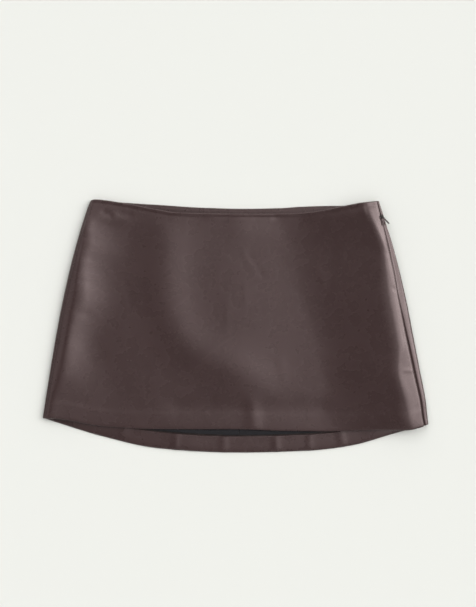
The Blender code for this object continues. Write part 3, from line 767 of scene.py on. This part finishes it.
def stitch_row(name, line, normals, material):
    """Stitches along a line on the cloth, partly sunk into it."""
    total = lengths_along(line)[-1]
    starts = np.arange(STITCH_PITCH / 2, total - STITCH_PITCH, STITCH_PITCH)
    ups = unit(points_along(np.column_stack([line, normals]), starts)[:, 3:])
    lift = ups * THREAD_RADIUS * STITCH_LIFT
    begin = points_along(line, starts) + lift
    end = points_along(line, starts + STITCH_LENGTH) + lift
    return round_bars(name, begin, end, ups, THREAD_RADIUS, material)


def flat_plate(name, loops, thickness, material):
    """A plate with rounded edges from outlines in its own XY plane. Inner loops are holes."""
    curve = bpy.data.curves.new(name, "CURVE")
    curve.dimensions = "2D"
    curve.fill_mode = "BOTH"
    curve.extrude = thickness / 2 - PLATE_BEVEL
    curve.bevel_depth = PLATE_BEVEL
    curve.bevel_resolution = PLATE_BEVEL_STEPS
    curve.offset = -PLATE_BEVEL
    for loop in loops:
        spline = curve.splines.new("POLY")
        spline.points.add(len(loop) - 1)
        for point, (x, y) in zip(spline.points, loop):
            point.co = (x, y, 0, 1)
        spline.use_cyclic_u = True
    guide = link(name + "_guide", curve)
    mesh = bpy.data.meshes.new_from_object(guide.evaluated_get(bpy.context.evaluated_depsgraph_get()))
    bpy.data.objects.remove(guide)
    mesh.name = name
    mesh.materials.clear()
    mesh.materials.append(material)
    mesh.shade_smooth()
    mesh.set_sharp_from_angle(angle=math.radians(SHARP_PLATE))
    return link(name, mesh)


def join(piece, *others):
    """Joins other pieces into one, each where it stands."""
    both = [piece, *others]
    with bpy.context.temp_override(
        active_object=piece, object=piece, selected_objects=both, selected_editable_objects=both
    ):
        bpy.ops.object.join()
    return piece


# ---- shader maths ----------------------------------------------------------
class Value:
    """A number that varies over a surface. Arithmetic on it adds Math nodes."""

    def __init__(self, tree, socket):
        self.tree = tree
        self.socket = socket

    def math(self, operation, first, second):
        return self.tree.value("ShaderNodeMath", {"operation": operation}, {0: first, 1: second})

    def __add__(self, other):
        return self.math("ADD", self, other)

    __radd__ = __add__

    def __mul__(self, other):
        return self.math("MULTIPLY", self, other)


class Tree:
    """A node tree that is filled in from Python values."""

    def __init__(self, holder):
        holder.use_nodes = True
        self.nodes = holder.node_tree.nodes
        self.links = holder.node_tree.links

    def fill(self, node, values):
        for key, value in values.items():
            socket = node.inputs[key]
            if isinstance(value, Value):
                self.links.new(value.socket, socket)
            elif isinstance(value, bpy.types.NodeSocket):
                self.links.new(value, socket)
            else:
                socket.default_value = value

    def node(self, kind, settings, values):
        """A node of a kind, with its settings first and then the values or links of its sockets."""
        node = self.nodes.new(kind)
        for key, setting in settings.items():
            if key != "stops":
                setattr(node, key, setting)
        for number, (position, colour) in enumerate(settings.get("stops", ())):
            elements = node.color_ramp.elements
            element = elements[number] if number < 2 else elements.new(position)
            element.position = position
            element.color = colour
        self.fill(node, values)
        return node

    def value(self, kind, settings, values, output=0):
        return Value(self, self.node(kind, settings, values).outputs[output])


class Finish(Tree):
    """The node tree of one material."""

    SOCKETS = {
        "colour": "Base Color",
        "roughness": "Roughness",
        "metallic": "Metallic",
        "specular": "Specular IOR Level",
        "tint": "Specular Tint",
        "sheen": "Sheen Weight",
        "sheen_roughness": "Sheen Roughness",
        "normal": "Normal",
    }

    def __init__(self, name):
        self.material = bpy.data.materials.new(name)
        super().__init__(self.material)
        self.shader = self.nodes["Principled BSDF"]

    def place(self, stretch=(1.0, 1.0, 1.0)):
        """The place on the cloth, in metres, with each axis shortened or stretched."""
        here = self.node("ShaderNodeTexCoord", {}, {}).outputs["Object"]
        values = {0: here, 1: stretch}
        return self.node("ShaderNodeVectorMath", {"operation": "MULTIPLY"}, values).outputs[0]

    def noise(self, place, size, detail=2.0):
        """Soft blotches of about a size, in metres, around 0.5."""
        values = {"Vector": place, "Scale": 1 / size, "Detail": detail, "Roughness": 0.5}
        return self.value("ShaderNodeTexNoise", {}, values)

    def cells(self, place, size):
        """Pebbles of about a size, in metres: 0 on their borders, rising inwards."""
        settings = {"feature": "DISTANCE_TO_EDGE"}
        return self.value("ShaderNodeTexVoronoi", settings, {"Vector": place, "Scale": 1 / size})

    def ribs(self, place, size, direction, distortion=0.0):
        settings = {"wave_type": "BANDS", "bands_direction": direction}
        values = {"Vector": place, "Scale": math.pi / 10 / size, "Distortion": distortion}
        return self.value("ShaderNodeTexWave", settings, values, 1)

    def mixed(self, factor, first, second):
        """A colour between two others."""
        node = self.node("ShaderNodeMix", {"data_type": "RGBA"}, {0: factor})
        colours = [number for number, socket in enumerate(node.inputs) if socket.type == "RGBA"]
        self.fill(node, dict(zip(colours, (first, second))))
        return next(socket for socket in node.outputs if socket.type == "RGBA")

    def bump(self, height, depth, after=None):
        """A bump of a real depth, in metres."""
        values = {"Height": height, "Distance": depth, "Strength": 1.0}
        if after is not None:
            values["Normal"] = after
        return self.node("ShaderNodeBump", {}, values).outputs[0]

    def wear(self, **values):
        self.fill(self.shader, {self.SOCKETS[key]: value for key, value in values.items()})
        return self.material


def faux_leather():
    finish = Finish("brown_faux_leather")
    place = finish.place()
    brushed = finish.place((1.0, 0.28, 1.0))
    blotches = finish.noise(place, 0.050, 3.0)
    smudges = finish.noise(place, 0.0130, 2.0)
    streaks = finish.noise(brushed, 0.0024, 2.0)
    grain = finish.cells(place, 0.0011)
    pores = finish.noise(place, 0.0005, 2.0)
    deep = finish.mixed(blotches, (0.0255, 0.0130, 0.0126, 1), (0.0315, 0.0160, 0.0153, 1))
    colour = finish.mixed(grain * 1.6, deep, (0.0300, 0.0156, 0.0149, 1))
    roughness = 0.21 + smudges * 0.08 + blotches * 0.05
    normal = finish.bump(smudges, 0.00010)
    normal = finish.bump(streaks, 0.000014, normal)
    normal = finish.bump(grain, 0.00005, normal)
    normal = finish.bump(pores, 0.00002, normal)
    tint = (1.0, 0.815, 0.805, 1)
    return finish.wear(colour=colour, roughness=roughness, specular=0.75, tint=tint, normal=normal)


Weave = namedtuple("Weave", "size direction distortion depth")
Tones = namedtuple("Tones", "size dark light")


def cloth_finish(name, weave, tones, **looks):
    """A woven or knitted cloth: ribs in relief, and a colour that wanders between two tones."""
    finish = Finish(name)
    place = finish.place()
    ribs = finish.ribs(place, weave.size, weave.direction, weave.distortion)
    colour = finish.mixed(finish.noise(place, tones.size), tones.dark, tones.light)
    return finish.wear(colour=colour, normal=finish.bump(ribs, weave.depth), **looks)


def leather_backing():
    weave = Weave(0.0009, "DIAGONAL", 0.0, 0.00010)
    tones = Tones(0.012, (0.030, 0.022, 0.021, 1), (0.046, 0.034, 0.032, 1))
    return cloth_finish("leather_backing", weave, tones, roughness=0.9, specular=0.2)


def black_jersey():
    weave = Weave(0.0008, "X", 0.4, 0.00012)
    tones = Tones(0.010, (0.0100, 0.0095, 0.0110, 1), (0.0160, 0.0150, 0.0175, 1))
    looks = {"roughness": 0.85, "specular": 0.25, "sheen": 0.15, "sheen_roughness": 0.4}
    return cloth_finish("black_jersey", weave, tones, **looks)


def woven_tape():
    weave = Weave(0.0007, "DIAGONAL", 0.0, 0.00008)
    tones = Tones(0.006, (0.024, 0.016, 0.015, 1), (0.036, 0.025, 0.023, 1))
    return cloth_finish("woven_zip_tape", weave, tones, roughness=0.8, specular=0.3)


def moulded_coil():
    finish = Finish("moulded_zip_coil")
    shade = finish.noise(finish.place(), 0.003)
    colour = finish.mixed(shade, (0.028, 0.019, 0.018, 1), (0.040, 0.028, 0.026, 1))
    return finish.wear(colour=colour, roughness=0.35 + shade * 0.1)


def sewing_thread(name, dark, light):
    finish = Finish(name)
    twist = finish.ribs(finish.place(), 0.0003, "DIAGONAL")
    colour = finish.mixed(twist, dark, light)
    return finish.wear(colour=colour, roughness=0.6, normal=finish.bump(twist, 0.00003))


def painted_zinc():
    finish = Finish("brown_painted_zinc")
    place = finish.place()
    shade = finish.noise(place, 0.004, 3.0)
    worn = finish.noise(place, 0.0012, 3.0)
    colour = finish.mixed(shade, (0.028, 0.022, 0.021, 1), (0.046, 0.037, 0.035, 1))
    normal = finish.bump(worn, 0.00003)
    return finish.wear(colour=colour, roughness=0.28 + worn * 0.14, metallic=0.3, normal=normal)


# ---- skirt -----------------------------------------------------------------
def panel_of(tube, start, end):
    """A panel's columns, its surface and normals, and how far its points lie from the waist and the hem."""
    columns = panel_columns(start, end)
    fields = (tube.points, tube.normals, tube.from_waist, tube.from_hem)
    return columns, *(field[:, columns] for field in fields)


def doubled_cloth(turned_up, from_waist):
    """The thickness of a panel that is turned in at the waist and, where `turned_up` is 1, at the hem."""
    doubled = turned_up + ease((WAIST_TURNED - from_waist) / EDGE_STEP + 0.5)
    return between(CLOTH, TURNED_EDGE, np.clip(doubled, 0, 1))


def make_front(tube, leather, backing):
    """The front panel, with its turned-up hem and its turned waist edge."""
    columns, surface, normals, from_waist, from_hem = panel_of(tube, "left_seam", "right_seam")
    groove = WAIST_GROOVE * np.exp(-(((from_waist - WAIST_GROOVE_AT) / WAIST_GROOVE_HALF_WIDTH) ** 2))
    turned = TURN_UP_RELIEF * ease((TURN_UP - from_hem) / TURN_UP_SOFTNESS + 0.5)
    rise = WAIST_RISE * np.clip(1 - from_waist / WAIST_RISE_WIDTH, 0.0, 1.0) ** 2
    surface = surface + zip_opening(tube, columns, True) + normals * rise[..., None]
    rolled = seam_rounding(tube, "left_seam", columns) + seam_rounding(tube, "right_seam", columns)
    rolled += rounded_in(from_hem, HEM_ROLL) * HEM_ROLL_SHARE
    outer = surface + normals * (turned - groove - rolled)[..., None]
    turned_up = ease((TURN_UP - from_hem) / EDGE_STEP + 0.5)
    inner = surface - normals * doubled_cloth(turned_up, from_waist)[..., None]
    leather_inside = (from_hem.mean(axis=1) < TURN_UP) | (from_waist.mean(axis=1) < WAIST_TURNED)
    return cloth_wall("front_cloth", outer, inner, [leather, backing], np.where(leather_inside, 0, 1))


def make_back(tube, name, start, end, leather, backing):
    """A back panel, and the line of the stitches below the top of its turn-up, with normals."""
    columns, surface, normals, from_waist, from_hem = panel_of(tube, start, end)
    side_seam = "right_seam" if start == "right_seam" else "left_seam"
    round_side = seam_rounding(tube, side_seam, columns)
    round_centre = rounded_in(tube.from_seam["centre_back"][:, columns], CENTRE_SEAM_ROUND)
    if start == "right_seam":
        surface = surface + zip_opening(tube, columns, False)
    outer = surface - normals * (round_side + round_centre)[..., None]
    down = tube.rows[:, None] * np.ones_like(round_side)
    turned_up = ease((down - BACK_TURN_UP_DOWN) * LENGTH / EDGE_STEP + 0.5)
    ripple = crease_height(HEM_STRIP_CREASES, surface[..., 0], surface[..., 1]) * turned_up
    thickness = doubled_cloth(turned_up, from_waist) + ripple
    thickness -= rounded_in(from_hem, BACK_HEM_ROLL) * BACK_HEM_ROLL_SHARE
    inner = surface - normals * thickness[..., None]
    leather_inside = (tube.rows > BACK_TURN_UP_DOWN) | (from_waist.mean(axis=1) < WAIST_TURNED)
    panel = cloth_wall(name, outer, inner, [leather, backing], np.where(leather_inside, 0, 1))
    place = BACK_TURN_UP_DOWN + STITCH_FROM_EDGE / LENGTH
    row = int(np.searchsorted(tube.rows, place))
    return panel, inner[row], -normals[row]


def make_facing(tube, name, start, end, leather, thread):
    """A back waist facing, with the row of stitches that holds its upper edge."""
    columns = panel_columns(start, end)
    rows = (tube.rows >= FACING_TOP) & (tube.rows <= FACING_END)
    surface, normals = tube.points[rows][:, columns], tube.normals[rows][:, columns]
    depth = CLOTH + SEAM_GAP
    outer, inner = surface - normals * depth, surface - normals * (depth + FACING)
    facing = cloth_wall(name, outer, inner, [leather])
    from_top = np.linalg.norm(surface - surface[0], axis=2).mean(axis=1)
    row = int(np.searchsorted(from_top, STITCH_FROM_EDGE))
    stitches = stitch_row(name + "_stitches", inner[row], -normals[row], thread)
    return facing, stitches


# ---- shorts ----------------------------------------------------------------
def leg_section(down):
    """One leg's outer face as distances from the centre line, heights and outward normals.

    It runs from the centre front over the top to the outer fold and back below to the centre back.
    Below the crotch both ends curl towards each other and meet at the inseam.
    """
    radius, middle = SHORTS_FOLD_RADIUS, SHORTS_FLOOR + SHORTS_FOLD_RADIUS
    outer = between(SHORTS_WAIST_HALF, SHORTS_HEM_HALF, down)
    curl = ease((down - CROTCH_DOWN) / SHORTS_STEP_DOWN)
    turns = np.linspace(0.0, math.pi / 2, CURL_STEPS + 1)
    flat_x, curl_x = radius * np.sin(turns), radius * (1 - np.cos(turns))
    inner_x = between(flat_x, curl_x, curl)
    inner_z = between(middle + radius, middle + radius * np.sin(turns), curl)
    inner_out = between(0.0, -np.cos(turns), curl)
    inner_up = np.sqrt(1 - inner_out ** 2)
    run = np.linspace(radius, outer - radius, SHORTS_COLUMNS + 1)[1:-1]
    top = [
        np.concatenate([inner_x + SEAM_GAP / 4, run, outer - radius + radius * np.sin(turns)]),
        np.concatenate([inner_z, np.full(len(run), middle + radius), middle + radius * np.cos(turns)]),
        np.concatenate([inner_out, np.zeros(len(run)), np.sin(turns)]),
        np.concatenate([inner_up, np.ones(len(run)), np.cos(turns)]),
    ]
    x, z, out, up = top
    below = slice(-2, None, -1)
    return (
        np.concatenate([x, x[below]]),
        np.concatenate([z, 2 * middle - z[below]]),
        np.concatenate([out, out[below]]),
        np.concatenate([up, -up[below]]),
    )


def make_leg(name, side, jersey, thread):
    """One leg of the shorts, with the two rows of stitches of its hem."""
    outer, inner, out_normals = [], [], []
    for down in np.linspace(0.0, 1.0, SHORTS_ROWS):
        aside, z, out, up = leg_section(down)
        x = SHORTS_CENTRE_X + side * aside
        waist = plan_y(x, FACING_END, 0.0) - SEAM_GAP
        y = between(waist, plan_y(x, SHORTS_HEM_DOWN, 0.0), down)
        wave = SHORTS_WAVE * np.sin(x * SHORTS_WAVES_ACROSS + down * SHORTS_WAVES_LEAN)
        wave *= np.cos(down * SHORTS_WAVES_DOWN) * np.clip(up, 0, 1)
        single = ease((SHORTS_TURN_UP_DOWN - down) / SHORTS_STEP_DOWN)
        thickness = JERSEY - single * SHORTS_SINGLE_THINNER
        outer.append(np.column_stack([x, y, z + wave]))
        inner.append(np.column_stack([x - side * out * thickness, y, z + wave - up * thickness]))
        out_normals.append(np.column_stack([side * out, np.zeros(len(x)), up]))
    outer, inner, out_normals = np.array(outer), np.array(inner), np.array(out_normals)
    if side < 0:
        outer, inner, out_normals = outer[:, ::-1], inner[:, ::-1], out_normals[:, ::-1]
    leg = cloth_wall(name, outer, inner, [jersey])
    rows = []
    for number in (1, 2):
        row = SHORTS_ROWS - 1 - round(number * TWIN_NEEDLE_GAP / (LENGTH / SHORTS_ROWS))
        rows.append(stitch_row(f"{name}_hem_stitches_{number}", outer[row], out_normals[row], thread))
    return leg, join(*rows)


# ---- zip -------------------------------------------------------------------
def beside_seam(tube, down, toward_front, distances):
    """Points and normals of the tube at distances from the right seam, to the front or to the back."""
    row = int(np.argmin(np.abs(tube.rows - down)))
    ring = np.roll(tube.points[row], -COLUMN["right_seam"], axis=0)
    normals = np.roll(tube.normals[row], -COLUMN["right_seam"], axis=0)
    if toward_front:
        ring, normals = np.roll(ring[::-1], 1, axis=0), np.roll(normals[::-1], 1, axis=0)
    both = points_along(np.column_stack([ring, normals])[:BESIDE_SEAM_COLUMNS], distances)
    return both[:, :3], unit(both[:, 3:])


def zip_half_gap(down):
    closing = float(ease((down - ZIP_OPEN_END) / (ZIP_CLOSED - ZIP_OPEN_END)))
    return between(ZIP_OPEN_HALF_GAP, SEAM_GAP / 2, closing)


def make_tape(tube, name, toward_front, fabric, coil):
    """One side of the zip: a woven tape with moulded teeth along its edge at the seam."""
    rows = [down for down in tube.rows if ZIP_TOP <= down <= ZIP_BOTTOM]
    outer, inner, edge, edge_up = [], [], [], []
    for down in rows:
        distances = zip_half_gap(down) + TAPE_SETBACK + np.linspace(0.0, TAPE_WIDTH, TAPE_COLUMNS)
        place, out = beside_seam(tube, down, toward_front, distances)
        outer.append(place - out * (CLOTH + SEAM_GAP))
        inner.append(place - out * (CLOTH + SEAM_GAP + TAPE))
        edge.append(place[0] - out[0] * (CLOTH + SEAM_GAP + TAPE + TOOTH_RADIUS))
        edge_up.append(np.concatenate([unit(place[1] - place[0]), out[0]]))
    outer, inner = np.array(outer), np.array(inner)
    if toward_front:
        outer, inner = outer[:, ::-1], inner[:, ::-1]
    tape = cloth_wall(name, outer, inner, [fabric])
    line = np.column_stack([np.array(edge), np.array(edge_up)])
    first = 0.0 if toward_front else TOOTH_PITCH / 2
    places = np.arange(first + TOOTH_PITCH, lengths_along(line)[-1] - TOOTH_PITCH, TOOTH_PITCH)
    at = points_along(line, places)
    inward, up = unit(at[:, 3:6]), unit(at[:, 6:])
    starts = at[:, :3] - inward * TOOTH_LENGTH * TOOTH_PAST_EDGE
    ends = starts + inward * TOOTH_LENGTH
    teeth = round_bars(name + "_teeth", starts, ends, up, TOOTH_RADIUS, coil)
    return tape, teeth


def hinge_frame():
    """The pull tab's frame at rest, from the CAD: X runs out along the tab and Y along the hinge."""
    joint = frame["record"]["behaviour"]["joints"][0]
    hinge, axis = Vector(joint["pos_m"]), -Vector(joint["axis"]).normalized()
    corners = [Vector(vertex.co) for vertex in frame["nodes"]["zip_pull"].data.vertices]
    centre = sum(corners, Vector()) / len(corners)
    along = centre - hinge
    along = (along - axis * along.dot(axis)).normalized()
    turned = Matrix((along, axis, along.cross(axis))).transposed().to_4x4()
    turned.translation = hinge
    return turned


def arc(centre_x, centre_y, radius, start, end, steps=ARC_STEPS):
    """Points of an arc between two angles in degrees."""
    angles = [math.radians(between(start, end, step / steps)) for step in range(steps + 1)]
    return [
        (centre_x + radius * math.cos(angle), centre_y + radius * math.sin(angle))
        for angle in angles
    ]


def rounded_box(low_x, low_y, high_x, high_y, radius):
    left, right = low_x + radius, high_x - radius
    bottom, top = low_y + radius, high_y - radius
    loop = []
    for number, (x, y) in enumerate([(right, top), (left, top), (left, bottom), (right, bottom)]):
        loop += arc(x, y, radius, 90 * number, 90 * (number + 1), CORNER_STEPS)
    return loop


def mirrored(one_side):
    """A closed outline from the half of it above the X axis."""
    return one_side + [(x, -y) for x, y in reversed(one_side) if abs(y) > ON_THE_AXIS]


def make_slider(rest, zinc):
    """A plate inside the teeth, a neck through the open seam, and a round eye outside for the tab."""
    seam = rest @ Matrix.Rotation(PULL_SWING, 4, "Y") @ Matrix.Translation((EYE_BACK, 0, -EYE_HEIGHT))
    half, front, rear = SLIDER_LENGTH / 2, SLIDER_FRONT_WIDTH / 2, SLIDER_REAR_WIDTH / 2
    nose = [(from_end - half, front * share) for from_end, share in SLIDER_NOSE]
    tail = [(half - from_end, rear * share) for from_end, share in SLIDER_TAIL]
    outline = mirrored(nose + [(0.0, front)] + tail)
    plate = flat_plate("zip_slider_detail", [outline], SLIDER_PLATE, zinc)
    plate.data.transform(seam @ Matrix.Translation((0, 0, -SLIDER_DEPTH - SLIDER_PLATE / 2)))
    foot, reach = -SLIDER_DEPTH - SLIDER_PLATE / 2, NECK_LENGTH / 2
    eye = arc(-EYE_BACK, EYE_HEIGHT, EYE_RADIUS + EYE_WALL, EYE_FROM, EYE_TO, EYE_STEPS)
    neck = [(reach, NECK_TOP * NECK_END_SHARE), (reach - NECK_CORNER, NECK_TOP)] + eye
    neck += [(-reach, 0.0), (-reach, foot), (reach, foot)]
    hole = arc(-EYE_BACK, EYE_HEIGHT, EYE_RADIUS, 360, 360 / EYE_STEPS, EYE_STEPS - 1)
    bridge = flat_plate("zip_slider_bridge", [neck, hole], NECK_THICKNESS, zinc)
    upright = Matrix.Rotation(math.radians(90), 4, "X")
    bridge.data.transform(seam @ upright)
    return join(plate, bridge)


def make_pull(rest, zinc):
    """The pull tab: square shoulders at the eye, a narrow neck and a round tip, with a raised grip."""
    half_root, half_tip = PULL_ROOT_WIDTH / 2, PULL_TIP_WIDTH / 2
    top = -PULL_RIM / 2
    shoulder = PULL_RIM / 2 + PULL_SLOT_LENGTH + PULL_RIM
    one_side = arc(top + PULL_CORNER, half_root - PULL_CORNER, PULL_CORNER, 180, 90, CORNER_STEPS)
    one_side += [(shoulder + past, half_root - inward) for past, inward in PULL_SHOULDER]
    one_side += [(PULL_NECK_FROM, PULL_NECK_WIDTH / 2), (PULL_MIDDLE_AT, PULL_MIDDLE_WIDTH / 2)]
    one_side += arc(PULL_LENGTH - half_tip, 0.0, half_tip, 90, 0)
    half_slot, slot_from = PULL_SLOT_WIDTH / 2, PULL_RIM / 2
    slot = rounded_box(slot_from, -half_slot, slot_from + PULL_SLOT_LENGTH, half_slot, PULL_SLOT_CORNER)
    tab = flat_plate("zip_pull_tab", [mirrored(one_side), slot[::-1]], PULL_THICKNESS, zinc)
    half_grip = (PULL_LENGTH - GRIP_FROM_TIP - PULL_MIDDLE_AT) / 2
    grip = rounded_box(-half_grip, -GRIP_HALF_WIDTH, half_grip, GRIP_HALF_WIDTH, GRIP_CORNER)
    pad = flat_plate("zip_pull_grip", [grip], PULL_THICKNESS + GRIP_RELIEF, zinc)
    pad.data.transform(Matrix.Translation((PULL_MIDDLE_AT + half_grip, 0, 0)))
    join(tab, pad)
    tab.data.transform(rest)
    return tab


# ---- stage -----------------------------------------------------------------
FLOOR_SIZE = 12.0
FLOOR_COLOUR = (0.722, 0.728, 0.690, 1)
CAMERA_HEIGHT = 2.7
CAMERA_AT = (0.003, 0.030)
FRAME_HEIGHT = 0.8255
FOCUS_HEIGHT = 0.006
SENSOR = 36.0
LIGHT_AZIMUTH = 16.0
KEY_ELEVATION = 30.0
KEY_SPREAD = 24.0
KEY_STRENGTH = 0.65
SKY_SCALE = 4.5
# Brightness of the studio by direction. A long softbox stretches over the garment from left to right,
# where -1 is level to the left, 0 straight up and 1 level to the right. Two others hang before and
# behind it, where 1 is level beyond the waist and -1 level below the hem.
Sky = namedtuple("Sky", "toward brightness")
SIDE_SOFTBOX = table(
    Sky,
    (-1.00, 0.75), (-0.60, 0.90), (-0.42, 0.64), (-0.26, 0.03), (-0.12, 0.04),
    (-0.04, 0.32), (0.03, 0.67), (0.10, 1.18), (0.20, 2.15), (0.30, 3.25),
    (0.42, 4.00), (0.60, 4.50), (0.75, 4.00), (0.88, 2.60), (1.00, 0.80),
)
SIDE_SOFTBOX_DEPTH = table(Sky, (-0.34, 0.0), (-0.16, 1.0), (0.16, 1.0), (0.34, 0.0))
END_SOFTBOXES = table(
    Sky,
    (-0.95, 0.2), (-0.75, 0.7), (-0.46, 0.8), (-0.26, 0.03), (0.26, 0.03),
    (0.46, 1.75), (0.85, 1.75), (1.00, 0.5),
)
END_SOFTBOX_WIDTH = table(Sky, (-0.75, 0.25), (-0.45, 1.0), (0.45, 1.0), (0.75, 0.25))


def make_floor():
    finish = Finish("floor_paper")
    finish.wear(colour=FLOOR_COLOUR, roughness=1.0, specular=0.0)
    half = FLOOR_SIZE / 2
    corners = [(-half, -half, 0), (half, -half, 0), (half, half, 0), (-half, half, 0)]
    mesh_piece("floor", corners, [(0, 1, 2, 3)], [finish.material])


def make_sky():
    world = bpy.data.worlds.new("studio")
    bpy.context.scene.world = world
    tree = Tree(world)
    azimuth = math.radians(LIGHT_AZIMUTH)
    direction = tree.node("ShaderNodeTexCoord", {}, {}).outputs["Generated"]

    def brightness(stops, axis):
        settings, values = {"operation": "DOT_PRODUCT"}, {0: direction, 1: axis}
        dot = tree.value("ShaderNodeVectorMath", settings, values, "Value")
        greys = [(0.5 + toward / 2, (*[bright / SKY_SCALE] * 3, 1)) for toward, bright in stops]
        greys = [greys[0], greys[-1], *greys[1:-1]]
        return tree.value("ShaderNodeValToRGB", {"stops": greys}, {0: dot * 0.5 + 0.5}) * SKY_SCALE

    rightward = (math.cos(azimuth), math.sin(azimuth), 0.0)
    upward = (-math.sin(azimuth), math.cos(azimuth), 0.0)
    side = brightness(SIDE_SOFTBOX, rightward) * brightness(SIDE_SOFTBOX_DEPTH, upward)
    ends = brightness(END_SOFTBOXES, upward) * brightness(END_SOFTBOX_WIDTH, rightward)
    tree.fill(tree.nodes["Background"], {"Strength": side + ends, "Color": (1, 1, 1, 1)})


def make_key():
    light = bpy.data.lights.new("key", "SUN")
    light.energy = KEY_STRENGTH
    light.angle = math.radians(KEY_SPREAD)
    key = bpy.data.objects.new("key", light)
    key.rotation_euler = (0, math.radians(90 - KEY_ELEVATION), math.radians(LIGHT_AZIMUTH))
    bpy.context.scene.collection.objects.link(key)


def make_camera():
    data = bpy.data.cameras.new("camera")
    data.sensor_width = SENSOR
    data.lens = SENSOR * (CAMERA_HEIGHT - FOCUS_HEIGHT) / FRAME_HEIGHT
    camera = bpy.data.objects.new("camera", data)
    camera.location = (*CAMERA_AT, CAMERA_HEIGHT)
    bpy.context.scene.collection.objects.link(camera)
    bpy.context.scene.camera = camera


# ---- build -----------------------------------------------------------------
# The flat cut of each cloth piece: its width, its length and its area.
Cut = namedtuple("Cut", "width length area held_on")


def declare(piece, slot, body, *nodes):
    """Hangs a piece on the body it rides on, and hides the CAD nodes it stands for."""
    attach(piece, body)
    if nodes:
        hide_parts(*nodes)


def main():
    bpy.context.scene.view_settings.view_transform = "Standard"
    make_camera()
    leather, backing, jersey, fabric = faux_leather(), leather_backing(), black_jersey(), woven_tape()
    coil, zinc = moulded_coil(), painted_zinc()
    brown_thread = sewing_thread("brown_thread", (0.030, 0.016, 0.015, 1), (0.060, 0.036, 0.034, 1))
    black_thread = sewing_thread("black_thread", (0.010, 0.009, 0.010, 1), (0.022, 0.020, 0.022, 1))
    tube = make_tube()

    front = make_front(tube, leather, backing)
    ends = {"right": ("right_seam", "centre_back"), "left": ("centre_back", "left_seam")}
    for side, (start, end) in ends.items():
        name = "back_cloth_" + side
        back, line, normals = make_back(tube, name, start, end, leather, backing)
        declare(back, "faux_leather", "garment", "back_panel_" + side)
        stitches = stitch_row(f"hem_stitches_{side}", line, normals, brown_thread)
        declare(stitches, "faux_leather", "garment")
    facing_ends = {"right": ("right_foot", "centre_back"), "left": ("centre_back", "left_edge")}
    for side, (start, end) in facing_ends.items():
        facing, stitches = make_facing(tube, "facing_cloth_" + side, start, end, leather, brown_thread)
        declare(facing, "faux_leather", "garment", "back_facing_" + side)
        declare(stitches, "faux_leather", "garment")
    for side, sign in (("left", -1), ("right", 1)):
        leg, stitches = make_leg("shorts_cloth_" + side, sign, jersey, black_thread)
        declare(leg, "jersey", "garment", "shorts_" + side)
        declare(stitches, "jersey", "garment")
    declare(front, "faux_leather", "garment", "front_panel")
    for side, toward_front in (("front", True), ("back", False)):
        tape, teeth = make_tape(tube, "tape_cloth_" + side, toward_front, fabric, coil)
        declare(tape, "zip_tape", "garment", "zip_tape_" + side)
        declare(teeth, "zip_tape", "garment")
    rest = hinge_frame()
    declare(make_slider(rest, zinc), "painted_zinc", "garment", "zip_slider")
    declare(make_pull(rest, zinc), "painted_zinc", "pull", "zip_pull")

    make_floor()
    make_sky()
    make_key()


main()
